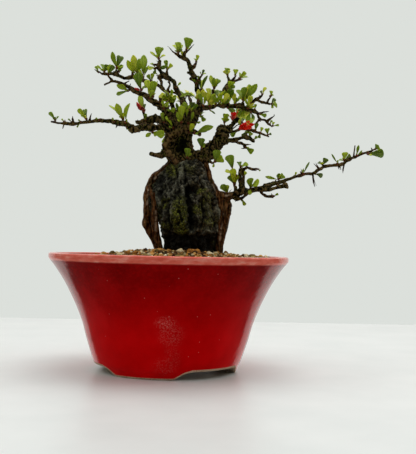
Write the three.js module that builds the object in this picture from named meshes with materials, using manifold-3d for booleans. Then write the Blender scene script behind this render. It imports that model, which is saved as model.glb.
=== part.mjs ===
// Japanese quince bonsai that grows over a rock, in a round flared pot. Millimetres, +Z up.
// It is laid out round the pot's axis, with the floor at z = 0 and the best side towards -Y. At the end
// the whole object is shifted so that the origin is the middle of its box's base.
import * as THREE from 'three';
import { mergeVertices } from 'three/addons/utils/BufferGeometryUtils.js';
import Module from 'manifold-3d';

const wasm = await Module();
wasm.setup();

// Driving dimensions
const GAP = 0.3; // between two pieces that touch
const SIDE_GAP = 0.4; // the same round faceted tubes and rings, whose flats lie nearer than their corners
const VIEW_DISTANCE = 500; // the tree's outline was measured from a point this far before the pot's axis
const VIEW_HEIGHT = 75.5; // and this high

const POT_SIDES = 36;
const RIM_RADIUS = 72.5;
const POT_HEIGHT = 69.7;
const FOOT_OUTER = 41.4;
const FOOT_INNER = 36.2;
const RECESS_RADIUS = 35;
const RECESS_HEIGHT = 6; // from the floor up to the pot's underside
const FLOOR_TOP = 10.4;
const DRAIN_RADIUS = 9;
const FEET = 3;
const FRONT_FOOT_TURN = -19; // degrees from the front, negative to the left
const ARCH_HALF_WIDTH = 24.5; // at the floor
const ARCH_TOP_HALF_WIDTH = 16.5;
const ARCH_HEIGHT = 4.8;
const ARCH_CUT = { from: 26, depth: 24 }; // radius that each arch's cut starts at, and how far it runs out

const NET_PITCH = 5.6;
const NET_HOLE = 4.2;
const NET_HOLES = 5; // along each side
const NET_THICKNESS = 1;
const WIRE_RADIUS = 0.8;
const WIRE_FOOT = 18; // how far each bent leg reaches from the axis
const WIRE_BEND = 1.6; // the corners' cut, along each side
const WIRE_SIDES = 8;

const BUD_RADIUS = 0.8;
const STALK_WIDTH = 0.6;
const STALK_SHARE = 0.22; // of the way from bud to leaf tip
const BLADE_THICKNESS = 0.45;
const BLADE_TURN = 32; // degrees; leaves turn about their length by up to this much
const BLADE_OUTLINE = [[0.4, 0.4], [0.74, 0.5], [1, 0.16]]; // [share of the blade's length, of its width]
const PETAL_OUTLINE = [[0, 0.13], [0.4, 0.4], [0.74, 0.5], [1, 0.2]];
const PETAL_THICKNESS = 0.5;

// The pot's section as [radius, height]: up the outside, over the lip, then the inside
const POT_OUTSIDE = [
  [FOOT_OUTER, 0], [42.2, 0.8], [45, 7], [48.9, 19], [51.7, 29], [56.1, 40], [62.1, 52], [67.9, 61],
  [72.2, 66.5], [RIM_RADIUS, 67.4], [RIM_RADIUS, 69], [71.5, POT_HEIGHT],
];
const POT_INSIDE = [
  [68.5, POT_HEIGHT], [67, 66.2], [58.6, 53], [49.2, 35], [44.4, 19], [42.2, 11.6], [40.4, FLOOR_TOP],
];
const SOIL_TOP = [[66.2, 66.4], [58, 68], [42, 69.8], [20, 71.4], [0, 71.8]];

// The rock's sections: [height, left, right, front, back]
const ROCK = [
  [128, 2, 17, -6.5, 6], [125, -2.5, 20.5, -9.5, 9], [119, -7.5, 24, -12.5, 11.5],
  [112, -12, 27, -15, 14.5], [104, -13, 29, -17, 16], [95, -11.5, 29.5, -17.5, 17],
  [87, -7, 29.5, -17, 17], [79, -4.5, 29, -16, 16], [71, -3, 28.5, -15, 15], [64, -1, 27, -12, 12],
  [58, 4, 22, -7, 7],
];
const ROCK_SIDES = 16;
const ROCK_WAVES = [[0.035, 3, 0.11], [0.03, 5, -0.23]]; // share of radius, waves round, radians per mm up

// Wood. Each limb holds the limb that it grows from, its number of sides, and its points as
// [x, z, radius] or [x, z, radius, depth]. x and z are where the point shows in the front view. depth is
// how far it lies behind the pot's axis, or behind the parent limb where one is named. Between two
// points that give it, the depth changes evenly; a first or last point without one is at 0.
const WOOD = {
  trunk: [null, 10, [[6, 125, 8.4], [6.8, 130, 8], [7.3, 135, 6.8], [7.2, 141, 5.2], [7.6, 147, 4.9],
    [8.2, 152, 4.1], [9.3, 156, 3.2], [10.8, 159, 2]]],
  trunk_left: [null, 8, [[1, 127, 3.4, -2], [-0.8, 131, 3.1], [-1.2, 135.5, 3.1], [0, 140, 3],
    [2.5, 144.5, 3, -2]]],
  trunk_right: [null, 7, [[8.5, 146.5, 3.4, -1], [12, 150.5, 2.8], [14.3, 154.5, 2.3], [16.5, 158, 1.9],
    [19.5, 160.4, 1.1, -4]]],
  trunk_stub: ['trunk_right', 5, [[10.5, 147.5, 2.2, -1], [13.8, 145, 1.5], [17, 144.4, 0.8, -3]]],
  root_left_outer: [null, 6, [[3, 127.5, 3, -2], [-1.5, 124.5, 2.2], [-5.5, 120.5, 2.2],
    [-9.5, 117.8, 2.1], [-12, 114.5, 2.1], [-13.6, 110.5, 2.2], [-14.2, 104, 2.2], [-14.4, 97, 2.1],
    [-14.4, 90.5, 2.2], [-13.8, 87, 2.2], [-12.4, 83.5, 2.1], [-10.6, 80.5, 1.9], [-8.8, 77, 1.9],
    [-7.5, 73.5, 1.8], [-6.5, 66, 1.6, -4]]],
  root_left_inner: [null, 6, [[-10.8, 107, 1.4, -9], [-10, 101, 1.7], [-9.6, 96, 2], [-9.5, 91, 2.3],
    [-9, 86, 2.3], [-7.9, 81.5, 2.2], [-6.8, 77.5, 2.1], [-5.6, 73, 1.9], [-4.6, 66, 1.6, -5]]],
  root_left_link: [null, 5, [[-13.4, 111, 1.4, -4], [-12.3, 108, 1.5], [-10.4, 104, 1.5, -8]]],
  root_left_back: [null, 6, [[1, 126, 2.8, 3], [-5, 118, 2.3], [-11, 108, 2.3], [-12, 97, 2.2],
    [-11.4, 88, 2.1], [-8.8, 80, 1.9], [-6.5, 66, 1.5, 10]]],
  root_back: [null, 6, [[8, 126, 3.2, 4], [10, 119, 2.4, 12], [11, 106, 2.1, 16.5], [9, 91, 2, 17.5],
    [7, 77, 1.9, 16.5], [6, 66, 1.6, 15]]],
  root_right_back: [null, 6, [[14, 127, 2.8, 3], [19, 118, 2.2, 10], [24, 106, 2, 13],
    [25, 92, 1.9, 13.5], [23, 78, 1.8, 13.5], [22, 66, 1.5, 12.5]]],
  root_right_outer: [null, 6, [[17, 129.5, 3, -2], [20.5, 126.5, 2], [22.8, 121, 1.6], [24.2, 115, 1.7],
    [27, 110, 2.2], [29.4, 105, 2.3], [30.3, 99, 1.8], [30.3, 91, 1.6], [30, 83, 1.6], [29.5, 75, 1.5],
    [29, 66, 1.3, -4]]],
  root_right_far: [null, 6, [[30.5, 107.5, 1.8, -1], [33.6, 106, 2.5], [34.8, 101, 2.7], [34.6, 96, 2.6],
    [33.8, 91, 2.4], [32.8, 86, 2.2], [32, 81, 2], [31.2, 76, 1.8], [30.6, 66, 1.5, -3]]],
  front_arc: [null, 6, [[3.5, 125.5, 1.8, -6], [2, 127.8, 1.7, -8], [-0.5, 130.5, 1.8, -8],
    [-3, 133.5, 1.9, -7.5], [-4.3, 136.5, 1.8, -7], [-3.2, 140, 1.7, -6.5], [-1, 143, 1.6, -6],
    [2, 145, 1.6, -5.5], [5.5, 146.5, 1.5, -5], [9, 148, 1.5, -4]]],
  left_stub: [null, 5, [[-2.5, 132, 1.6, -7], [-6, 130.3, 1.4], [-9, 130, 1.1],
    [-13.5, 130.8, 0.7, -11]]],
  left_long: [null, 6, [[4, 146, 3.4], [-2, 146, 2.6], [-6, 147.3, 1.9], [-10.5, 147, 1.6],
    [-15, 147.3, 1.9], [-19.5, 147, 2], [-22.8, 146.1, 2.3, -9], [-25.5, 147, 2.1], [-28, 148.3, 1.6],
    [-33, 149.5, 1.4], [-38, 150.4, 1.1], [-44, 150.3, 1.1, -8], [-50, 150, 0.9], [-55, 149, 0.8],
    [-60.5, 148.1, 0.85], [-66, 148.4, 0.7], [-70, 148.4, 0.6], [-74, 149, 0.45, -15]]],
  left_upper: [null, 5, [[1, 147, 3, 1], [-3, 149, 2.5], [-6.5, 151.2, 2.2], [-9.3, 152.9, 2],
    [-12, 152.3, 1.9], [-15.5, 151.6, 2], [-19, 150.4, 1.3], [-22.5, 150.4, 0.8, 9]]],
  left_upper_shoot: ['left_upper', 4, [[-15.3, 151.4, 1.2], [-16.6, 154.6, 1], [-18.6, 157, 0.7, 1.5]]],
  left_rising: [null, 5, [[4, 146, 3.4], [0, 148, 3], [-3, 151.5, 2.4], [-4, 155, 2.2], [-5.4, 158.3, 2],
    [-7.5, 160.2, 1.8], [-10.8, 162.6, 1.7], [-13.5, 164.6, 1.6, -9], [-18.6, 167.6, 1.4],
    [-21.7, 168.6, 1.3], [-24.4, 169.9, 1.1], [-29.6, 172.7, 0.9], [-35.2, 174.8, 0.7],
    [-37.8, 174.8, 0.6], [-40, 173.7, 0.5], [-42, 172.2, 0.4, -16]]],
  left_rising_tip: ['left_rising', 4, [[-36.6, 174.8, 0.6], [-38, 176.5, 0.6],
    [-39.5, 179, 0.45, -2.4]]],
  left_rising_stub: ['left_rising', 4, [[-6.3, 160, 1.3], [-7.1, 163.2, 1], [-7.8, 166, 0.7]]],
  left_rising_brace: ['left_rising', 5, [[-4.6, 158, 1.5], [-0.6, 156, 1.4], [1.4, 153.9, 1.4],
    [3, 150.5, 1.5], [5, 147, 1.6]]],
  top_left: [null, 5, [[7, 152, 2.2, 1], [3.5, 155, 1.8], [1, 158, 1.5], [-1.5, 163, 1.3],
    [-3.5, 169, 1.1], [-5.4, 170.6, 1, 6], [-7.6, 172.2, 0.95], [-10.3, 173.6, 0.9], [-13.4, 174.8, 0.9],
    [-16.5, 176, 0.95], [-20, 176.9, 1], [-25, 177.2, 1, 15], [-30, 177.3, 1.1], [-33, 178.3, 1.1],
    [-36, 179.3, 1], [-40, 179.2, 0.9], [-43.5, 179, 0.7, 13]]],
  top_left_spur_a: ['top_left', 4, [[-25, 177, 0.9], [-25, 181, 0.7, 0.5]]],
  top_left_spur_b: ['top_left', 4, [[-34.8, 178.8, 1.2], [-35, 182, 0.9, -1]]],
  top_left_shoot_a: ['top_left', 4, [[-5.9, 171, 0.8], [-7.6, 175.6, 0.6], [-9.3, 177.5, 0.5, 2]]],
  top_left_shoot_b: ['top_left', 4, [[-3.6, 168.8, 0.8], [-2, 174.5, 0.6], [-2.8, 176.6, 0.5, -1.5]]],
  top_middle: [null, 5, [[8.6, 154.5, 2.3], [7.4, 160, 1.9], [6, 165, 1.7], [3.7, 168, 1.5, 8],
    [1.6, 172, 1.4], [-0.2, 175.8, 1.3], [-2.4, 177.5, 1.2], [-5, 179, 1.2], [-7.5, 181, 1.15],
    [-9.3, 184.5, 1.1], [-8.8, 188.2, 0.8, 9]]],
  top_middle_knob: ['top_middle', 4, [[-5.5, 179.3, 1], [-8.4, 177.6, 0.8]]],
  top_middle_shoot: ['top_middle', 4, [[-3.4, 178, 0.8], [-3.9, 180.5, 0.7], [-3.6, 183, 0.6, -1.5]]],
  top_middle_link: ['top_left', 4, [[-2.9, 170.6, 0.7], [0.8, 169.2, 0.6], [4.2, 167, 0.8, 1.5]]],
  apex: [null, 5, [[9.5, 155, 2.8], [13, 157, 2], [15.3, 161, 1.6], [16.2, 166, 1.5],
    [15.8, 170, 1.4, 5], [14.3, 175.3, 1.5], [12.6, 178.6, 1.4], [11.1, 182, 1.4], [9.9, 186, 1.25, -2],
    [8.6, 189.2, 1.3], [6.5, 190.3, 1.1], [3.5, 191.5, 1], [0.8, 193.2, 0.7, -8]]],
  apex_spur: ['apex', 4, [[6.4, 190, 1], [7.3, 194.8, 0.7, -1.5]]],
  apex_stub_a: ['apex', 4, [[11.8, 180.3, 0.9], [8.6, 181.4, 0.7]]],
  apex_stub_b: ['apex', 4, [[14, 176, 0.9], [10.1, 177.9, 0.6, 1.4]]],
  apex_twig_a: ['apex', 4, [[10.9, 182.4, 1], [13, 186, 0.8], [13.6, 187.6, 0.6, 2]]],
  apex_twig_b: ['apex', 4, [[14.3, 175, 1], [16.4, 178.4, 0.8], [17.4, 180.2, 0.6, -1.5]]],
  right: [null, 5, [[8.8, 153, 3.2, -1], [13, 157.6, 2.4], [18, 160, 1.6], [23, 160.8, 1.1],
    [27, 161.7, 1], [31, 161.3, 1.15, -10], [36, 161.6, 1.2], [41, 161.9, 1.25], [46, 160.4, 1.2],
    [50, 159.3, 1], [52.2, 158.3, 0.85, -7], [52.7, 155.6, 0.7], [54.5, 154.3, 0.7], [57.2, 153.6, 0.7],
    [59.2, 151.2, 0.6], [62.2, 149.6, 0.5, -12]]],
  right_side: ['right', 4, [[53.2, 154.9, 0.6], [51.6, 151.8, 0.45, -1.5]]],
  right_spur_a: ['right', 4, [[15.5, 159, 1], [15.8, 163.3, 0.8, -2]]],
  right_spur_b: ['right', 4, [[22.6, 160.6, 1], [24.3, 166, 0.9], [24.8, 171.3, 0.7, 1.6]]],
  right_spur_c: ['right', 4, [[29.2, 161.3, 1], [29.2, 163.8, 0.8, -2.6]]],
  right_spur_d: ['right', 4, [[42.5, 161.5, 1.1], [43.2, 164.3, 0.8, -2]]],
  right_riser: ['right', 5, [[33.3, 161.5, 1.2], [33, 165.5, 1.1], [32.4, 169, 1.4], [32.4, 171.8, 1.7],
    [33.8, 174.2, 1.25], [34.3, 176.6, 1.1], [33.2, 180, 0.7, 6.4]]],
  right_riser_mid: ['right_riser', 4, [[34.2, 175.8, 1], [36.3, 178, 0.8], [37.5, 180, 0.65, -2.6]]],
  right_riser_far: ['right_riser', 4, [[34.3, 176.2, 0.9], [37.5, 177, 0.8], [40.3, 178.4, 0.65, 5]]],
  right_top: ['right', 4, [[44.5, 160.7, 1.1], [48, 164, 0.9], [50.5, 165.8, 0.9], [53, 167.2, 0.85],
    [54.9, 169, 0.65, -8]]],
  right_top_side: ['right_top', 4, [[51, 166, 0.8], [54, 164.8, 0.75], [57, 163.8, 0.7],
    [60, 163.8, 0.5, 5]]],
  right_top_tip: ['right_top_side', 4, [[57.3, 163.8, 0.6], [58.3, 166.3, 0.55],
    [59.8, 168, 0.45, -2]]],
  limb: [null, 8, [[9, 127.5, 5.5, 1], [14, 128.5, 5.2], [20.5, 130.5, 4.9], [24.2, 134.5, 4.6],
    [28, 139, 4.2], [30.6, 143.2, 4.1], [31.3, 147, 3.7], [31, 149.6, 2.4, 5]]],
  limb_stub: ['limb', 6, [[31.5, 145, 2.9], [36.5, 149, 2.1], [39, 152, 1.9], [40.5, 154.9, 1.6, -4]]],
  limb_spur: ['limb', 4, [[31.8, 148, 1], [32.3, 150.9, 0.7, -1]]],
  limb_low: ['limb', 5, [[29.5, 140.3, 1.7, -1], [34, 140.6, 1.2], [38, 141.2, 0.95], [42, 142, 0.9],
    [45.5, 142.7, 1], [48, 142.3, 1.05], [50.2, 140.4, 0.9, -11]]],
  limb_back: ['limb', 4, [[30, 139.6, 1.3], [34, 139.9, 1], [39, 139.9, 0.85], [43, 139, 0.9],
    [44.5, 138, 1], [44.3, 135.8, 0.8, 10]]],
  limb_right: ['limb', 4, [[32, 145.8, 1.8], [37, 146.7, 1.2], [43, 148, 0.95], [47.5, 148, 0.85],
    [50, 146.9, 0.8], [53.3, 145.6, 0.7], [57.7, 144.6, 0.65], [59.4, 143.7, 0.5, 13]]],
  limb_leaf_spur: ['limb', 4, [[18.5, 130.8, 1, -4.6], [18.3, 134.6, 0.7, -6.6]]],
  limb_low_spur: ['limb', 4, [[21, 129, 1.2, -3], [25.3, 126, 0.9, -6]]],
  long: [null, 6, [[28.5, 108, 2, -2], [32, 106.7, 2.8], [35, 105.8, 2.9], [38.5, 107, 2.5],
    [42, 108.8, 2.2], [44.8, 110.1, 1.9], [48, 109.8, 1.3], [52.3, 111, 1.25], [57, 111.7, 1.5, -7],
    [61, 114, 1.3], [65.7, 115.7, 1], [69, 116.3, 0.9], [72.4, 117.6, 0.85], [75.8, 119, 0.8],
    [79.7, 120.2, 0.8, 4], [86.4, 121.4, 0.8], [90.5, 124.5, 0.8], [94, 125.8, 0.75],
    [104, 127.4, 0.7, 3], [107.4, 128.3, 0.85], [111.4, 131.6, 0.65], [115, 133.3, 0.6],
    [120.2, 134.5, 0.55], [123.9, 136.5, 0.5], [126, 137.2, 0.45, 7]]],
  long_fork: ['long', 5, [[55.5, 111.3, 1.4], [60.5, 110.7, 1.15], [63.5, 111.2, 1], [66.5, 112.3, 1],
    [70.8, 114, 1.25, -3]]],
  long_low: ['long', 4, [[54.5, 110.9, 1], [56.8, 108.4, 0.8], [59.2, 107.4, 0.8],
    [63.2, 106.8, 0.75, 7]]],
  long_link: ['long_fork', 4, [[65.8, 112, 0.9], [65.6, 115.8, 0.7, 5.6]]],
  long_under: ['long', 4, [[38.5, 105.5, 1.4], [41, 104.5, 1], [43.5, 105.6, 0.95],
    [47.5, 108.5, 0.7, -4]]],
  twig_a: ['long', 4, [[38.8, 107.5, 1.4], [39.2, 112.5, 0.8, -1]]],
  twig_b: ['long', 5, [[42, 109, 1.6], [42.9, 114.8, 1.2], [42.1, 119, 1.1], [42.2, 123.2, 0.8, -6]]],
  twig_c: ['long', 4, [[43.8, 109.8, 1.4], [44.4, 115, 0.95], [44, 120, 0.9], [44.9, 123, 0.7, 5]]],
  twig_d: ['twig_b', 4, [[42.3, 122.6, 0.8], [46.5, 124.3, 0.55], [49, 123.4, 0.65],
    [52.8, 123, 0.45, -2]]],
  back_high: [null, 5, [[8.8, 152.5, 2.6, 2], [9.3, 156, 1.9, 8], [10.8, 158.5, 1.6, 15],
    [11.4, 161.5, 1.3, 20], [10.2, 164.5, 1, 24], [9.2, 167.5, 0.75, 28]]],
  back_right: [null, 5, [[27, 138, 2.4, 6], [29, 142, 1.8, 13], [32, 145.5, 1.5, 19],
    [35.5, 149.5, 1.3, 24], [38.8, 154.3, 0.8, 27]]],
  back_left: [null, 5, [[5.5, 149, 2.4, 2], [1.5, 151.5, 1.8, 9], [0, 154.5, 1.4, 15],
    [-2.8, 158, 1.1, 19], [-3.6, 162, 0.8, 23]]],
  back_low: [null, 5, [[8, 140, 2.4, 3], [6.5, 141.5, 1.8, 9], [4.6, 144, 1.4, 14],
    [4.4, 147.5, 1.1, 18], [3.2, 150.5, 0.8, 23]]],
  front: [null, 4, [[9, 151, 2, -3], [9.8, 153, 1.5, -8], [10.4, 155.5, 1.1, -13],
    [10.8, 158, 0.75, -17]]],
  back_high_fork: ['back_high', 4, [[11, 160, 1.1], [7.5, 161, 0.9], [5.5, 163, 0.7, 13]]],
  back_right_fork: ['back_right', 4, [[33, 146.5, 1.1], [37, 148, 0.9], [42, 151.5, 0.7, 13]]],
  back_left_fork: ['back_left', 4, [[0, 154.5, 1.1], [-1.5, 154.5, 0.9], [-3.5, 157, 0.7, 15]]],
  back_low_fork: ['back_low', 4, [[4.6, 144, 1.1], [7, 145.5, 0.9], [9, 149, 0.7, 9]]],
};

// Thorns: limb, [x, z] of the base, [x, z] of the tip
const THORN_RADIUS = [0.55, 0.16];
const THORNS = [
  ['right', [52.5, 158.7], [59.8, 159.5]], ['right', [58.5, 152.4], [62.8, 157.6]],
  ['limb_back', [44.5, 138], [48.4, 138.6]], ['long', [80.7, 120.4], [81.6, 124.8]],
  ['long', [91, 124.8], [88.6, 128.6]], ['long', [86.5, 121.4], [89.5, 114.3]],
  ['long', [106.5, 128], [106.3, 123]], ['long', [112.7, 132.3], [113.2, 140]],
  ['long', [102.3, 127.2], [104.4, 124.4]], ['left_long', [-60.3, 148.2], [-60.7, 153.3]],
  ['left_long', [-50.4, 150], [-49, 155]], ['left_long', [-66, 148.4], [-66.6, 145]],
  ['left_rising', [-30, 172.7], [-26.8, 175.2]], ['top_left', [-43.2, 179], [-48.2, 182.4]],
  ['apex_spur', [7, 193], [12.6, 199.5]], ['apex', [0.8, 193.2], [-4.1, 196.8]],
  ['back_high', [10.6, 160], [13, 163]], ['left_long', [-33, 149.5], [-35, 146.2]],
];

// Leaf clusters: limb, [x, z] of the bud, leaves as [tip x, tip z, width, tip's depth from the bud's]
const LEAVES = {
  left_tip: ['left_long', [-70, 148.4], [[-74.8, 154.2, 1.8, -2], [-69.3, 152.3, 1.3, 1.5]]],
  left_end: ['left_long', [-51.5, 149.8], [[-57.5, 156.8, 2.5, -3], [-53.3, 157.5, 2.2, 2]]],
  left_mid: ['left_long', [-29, 148.8], [[-34.2, 160.8, 3, -3], [-38.5, 159.7, 1.4, 3],
    [-26.4, 161.2, 2.2, 1]]],
  upper_left: ['left_upper_shoot', [-16.6, 154.6], [[-20.4, 166.6, 3, 4], [-17.2, 161.4, 1.8, 1]]],
  below_left: ['left_long', [-12, 147], [[-5, 140.8, 3.5, -5], [-16, 141.7, 1.8, -3]]],
  rising_under: ['left_rising', [-24.4, 169.9], [[-33, 172.6, 3, -4], [-33, 167, 3, -1],
    [-29, 165.3, 2.4, 3]]],
  rising_mid: ['left_rising', [-18.6, 167.6], [[-21.5, 180, 5.2, -5]]],
  rising_inner: ['left_rising', [-11.5, 163.2], [[-17, 175.5, 4.8, -3], [-9.8, 175.5, 1.2, 2]]],
  top_left_tip: ['top_left', [-42, 179.1], [[-46.8, 183.6, 2.2, -3], [-43.8, 185, 2.2, 2],
    [-40.3, 184.6, 3.8, -1]]],
  top_left_spur: ['top_left_spur_b', [-35, 182], [[-37.6, 192.5, 2.5, -2], [-32.6, 190.3, 4, 1],
    [-31, 184, 2.5, -3]]],
  top_left_mid: ['top_left', [-18.3, 176.5], [[-25, 190.6, 2.8, 3], [-20.3, 189, 2.2, -3],
    [-18, 190.8, 3.2, 1], [-15.3, 188.2, 2.4, -3]]],
  top_middle_side: ['top_middle', [-8.6, 183], [[-15.5, 183, 3, -2], [-13.9, 186.6, 2, 3]]],
  top_middle_tip: ['top_middle', [-8.8, 188.2], [[-7.8, 196.5, 4.5, -1], [-14.4, 193.6, 1.4, 3]]],
  centre: ['top_left', [-1.8, 163.5], [[-6.8, 165.4, 3, -5], [-5, 169, 3, -6], [0, 170, 3, -5],
    [-4, 159.8, 2.8, -6]]],
  apex_left: ['apex', [2.6, 192.1], [[1.8, 200, 3, -1], [-0.8, 198, 2, 2], [5, 198.5, 1.6, 2]]],
  apex_top: ['apex_spur', [7.3, 194.6], [[8.4, 203.2, 4.6, -1]]],
  apex_low: ['apex_twig_b', [17.2, 179.9], [[18.2, 185, 2.4, -1], [21.3, 182.5, 1.6, 2]]],
  right_first: ['apex', [16.1, 169], [[18.3, 177, 3, 3], [21.4, 177, 2, -2]]],
  right_second: ['right_spur_b', [24.8, 171.1], [[22.6, 180, 2, 3], [28.6, 177.8, 4.6, -1],
    [25.4, 179, 2.2, -3]]],
  right_third: ['right_spur_b', [24, 165], [[18, 169, 3.6, -3], [28.6, 170.5, 3.6, 4],
    [21.3, 172, 3.4, 3]]],
  right_fourth: ['right_spur_c', [29.2, 163.6], [[27, 168.8, 3, -3], [31.3, 170.6, 3.4, -6],
    [35, 167, 3, -3]]],
  right_fifth: ['right_riser', [32.6, 170.5], [[38, 176.2, 4, -5], [36.5, 170.2, 3, -4]]],
  right_fan: ['right_spur_d', [43.2, 164.1], [[39.8, 171.6, 3.3, 1], [43.8, 173.6, 3.3, -4],
    [48.2, 174.8, 3.4, 0], [51.8, 171.8, 3.3, -4]]],
  riser_tip: ['right_riser', [33.2, 180], [[32.7, 185, 3.8, 1]]],
  riser_far: ['right_riser_far', [40.2, 178.3], [[44.2, 183, 2, -1], [45.6, 179.8, 2, 3],
    [40.6, 183, 2, 2]]],
  right_top_end: ['right_top_side', [59.8, 163.8], [[63, 167, 2.6, -1], [64.2, 162.8, 2.8, 2]]],
  knob: ['limb_spur', [32.2, 150.7], [[32.4, 157, 3.6, -1]]],
  by_flower: ['limb_right', [47, 148], [[44.6, 158.4, 3, 6], [49.8, 155.6, 2.8, 4],
    [43.5, 143, 3, 1], [48.4, 144, 3, 3]]],
  trunk_front: ['front', [10.7, 157.8], [[6.3, 162.8, 3, -4], [12, 164.6, 3, -2]]],
  trunk_right: ['trunk_right', [14.8, 155], [[19.2, 157.4, 3, -4], [19.6, 152, 2.6, -2]]],
  limb_low: ['limb_low_spur', [25.1, 126.1], [[28, 134.4, 4.4, -3], [32.6, 128.4, 3.8, 0]]],
  twig_top: ['twig_b', [42.2, 122.6], [[35.5, 131.7, 5.6, -2], [41.4, 129.4, 3.6, 2]]],
  twig_low: ['twig_a', [39.2, 112.3], [[36.4, 119, 4, -2], [41, 119.2, 2, -4]]],
  long_first: ['long', [48.4, 109.8], [[48.6, 117, 4.6, -3], [54.4, 114.6, 3.6, -5]]],
  long_middle: ['long', [66, 115.8], [[65.6, 122, 2.6, -2], [70, 121.6, 2.8, 1], [58.2, 119, 1.4, 2]]],
  long_far: ['long', [92.5, 125.2], [[95.5, 131.4, 4.8, -1], [90.4, 130.2, 1.8, 3]]],
  long_end: ['long', [106, 128], [[108, 135.4, 3.8, -2], [112, 134.8, 2, 3], [103.5, 133, 2, 2]]],
  long_tip: ['long', [124.6, 136.7], [[126.6, 142, 2.8, 0], [130.4, 138, 2.4, -2]]],
  back_top: ['back_high', [8.4, 165.3], [[4, 171.5, 4, 4], [12.4, 171, 4, 2], [8.6, 169.2, 3.4, 8]]],
  back_side: ['back_right', [38.8, 154.1], [[41, 160.6, 3.8, 5], [46.4, 158.2, 3.8, 3],
    [43, 155.2, 3.6, 8]]],
  back_inner: ['back_left', [-4, 161.8], [[-7.6, 167.6, 3.8, 4], [0.2, 167.6, 3.8, 3],
    [-4.4, 164.6, 3.4, 8]]],
};

// Flowers: limb, [x, z] of the seat, direction of the flower's axis, petals' length, width and lean
const FLOWER = { limb: 'limb_right', seat: [40, 147.4], axis: [0.86, -0.36, 0.36] };
const CALYX_HEIGHT = 3;
const CALYX = [[0, 0], [0.9, 0], [1.5, 0.9], [1.9, 2.6], [1.5, CALYX_HEIGHT], [0, CALYX_HEIGHT]];
const PETALS = 5;
const PETAL = { length: 7, width: 3, radius: 1.35, lean: 14 };
const STAMENS = 5;
const STAMEN = { length: 3.4, radius: 0.25, foot: 0.4, spread: 0.72, anther: 0.42 };
const STAMEN_DISC = { radius: 0.85, height: 0.8 };
const HALF_OPEN = { limb: 'limb_stub', seat: [38, 150.8], axis: [-0.18, 0.3, 0.94] };
const CUP_OUTSIDE = [[0, 0], [0.9, 0.2], [1.7, 1.6], [1.9, 3], [1.75, 4.6]];
const CUP_INSIDE = [[1.3, 4.6], [1.45, 3], [1.25, 1.8], [0, 1]];
// Buds: limb, [x, z] of the seat, axis, radius and half-length
const BUDS = {
  bud_upper_left: ['left_rising', [-20, 168.1], [-0.6, -0.6, 0.6], 0.8, 1.9],
  bud_shoot: ['left_upper_shoot', [-18.6, 157], [-0.55, -0.3, 0.75], 1, 3.2],
};
const BUD_OUT = 0.9; // share of its half-length that a bud's middle stands off the wood

// Larger grains on the soil: x, y, half-lengths along x, y and z, turn in degrees
const PEBBLES = {
  pebble_cream: [6.5, -24, 2.6, 2.2, 1.9, 20],
  pebble_orange: [13, -21.5, 2.9, 2.4, 2, 40],
};
const PEBBLE_SUNK = 0.45; // share of its half-height that is below the soil's surface

const MATERIALS = {
  glaze: [0x8a0c10, 0.18, 0],
  soil: [0x6b4a33, 0.95, 0],
  rock: [0x24241e, 0.45, 0],
  bark: [0x4a3426, 0.8, 0],
  leaf: [0x6d8f2c, 0.5, 0],
  calyx: [0x7a3020, 0.55, 0],
  petal: [0xc8241a, 0.45, 0],
  stamen: [0xe0b84a, 0.6, 0],
  cream: [0xd8c8a4, 0.9, 0],
  orange: [0xb06a34, 0.9, 0],
  net: [0x1c1c1c, 0.6, 0],
  wire: [0x8c7a64, 0.4, 1],
};

const rad = THREE.MathUtils.degToRad;
const vec = (x, y, z) => new THREE.Vector3(x, y, z);

// A point that shows at x, z in the front view and lies y behind the pot's axis
function seen(x, z, y) {
  const k = (VIEW_DISTANCE + y) / VIEW_DISTANCE;
  return vec(x * k, y, VIEW_HEIGHT + (z - VIEW_HEIGHT) * k);
}

// A closed geometry as a solid that can be cut and joined
function solid(geometry) {
  const bare = new THREE.BufferGeometry();
  bare.setAttribute('position', geometry.attributes.position);
  bare.setIndex(geometry.index);
  const merged = mergeVertices(bare, 1e-4);
  const index = merged.index.array;
  const triangles = [];
  for (let i = 0; i < index.length; i += 3) {
    const [a, b, c] = [index[i], index[i + 1], index[i + 2]];
    if (a !== b && b !== c && c !== a) triangles.push(a, b, c);
  }
  return new wasm.Manifold(new wasm.Mesh({
    numProp: 3,
    vertProperties: new Float32Array(merged.attributes.position.array),
    triVerts: new Uint32Array(triangles),
  }));
}

const join = (solids) => solids.reduce((whole, next) => whole.add(next));

// The largest body of a solid, which drops slivers that a cut leaves behind
function largest(whole) {
  return whole.decompose().reduce((a, b) => (a.volume() >= b.volume() ? a : b));
}

function box(size, centre) {
  return solid(new THREE.BoxGeometry(...size).translate(...centre));
}

// A solid of revolution round +Z, from a section of [radius, height] points that closes on itself
function turned(section, sides) {
  const points = [...section, section[0]].map(([r, z]) => new THREE.Vector2(r, z));
  return solid(new THREE.LatheGeometry(points, sides).rotateX(Math.PI / 2));
}

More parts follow.
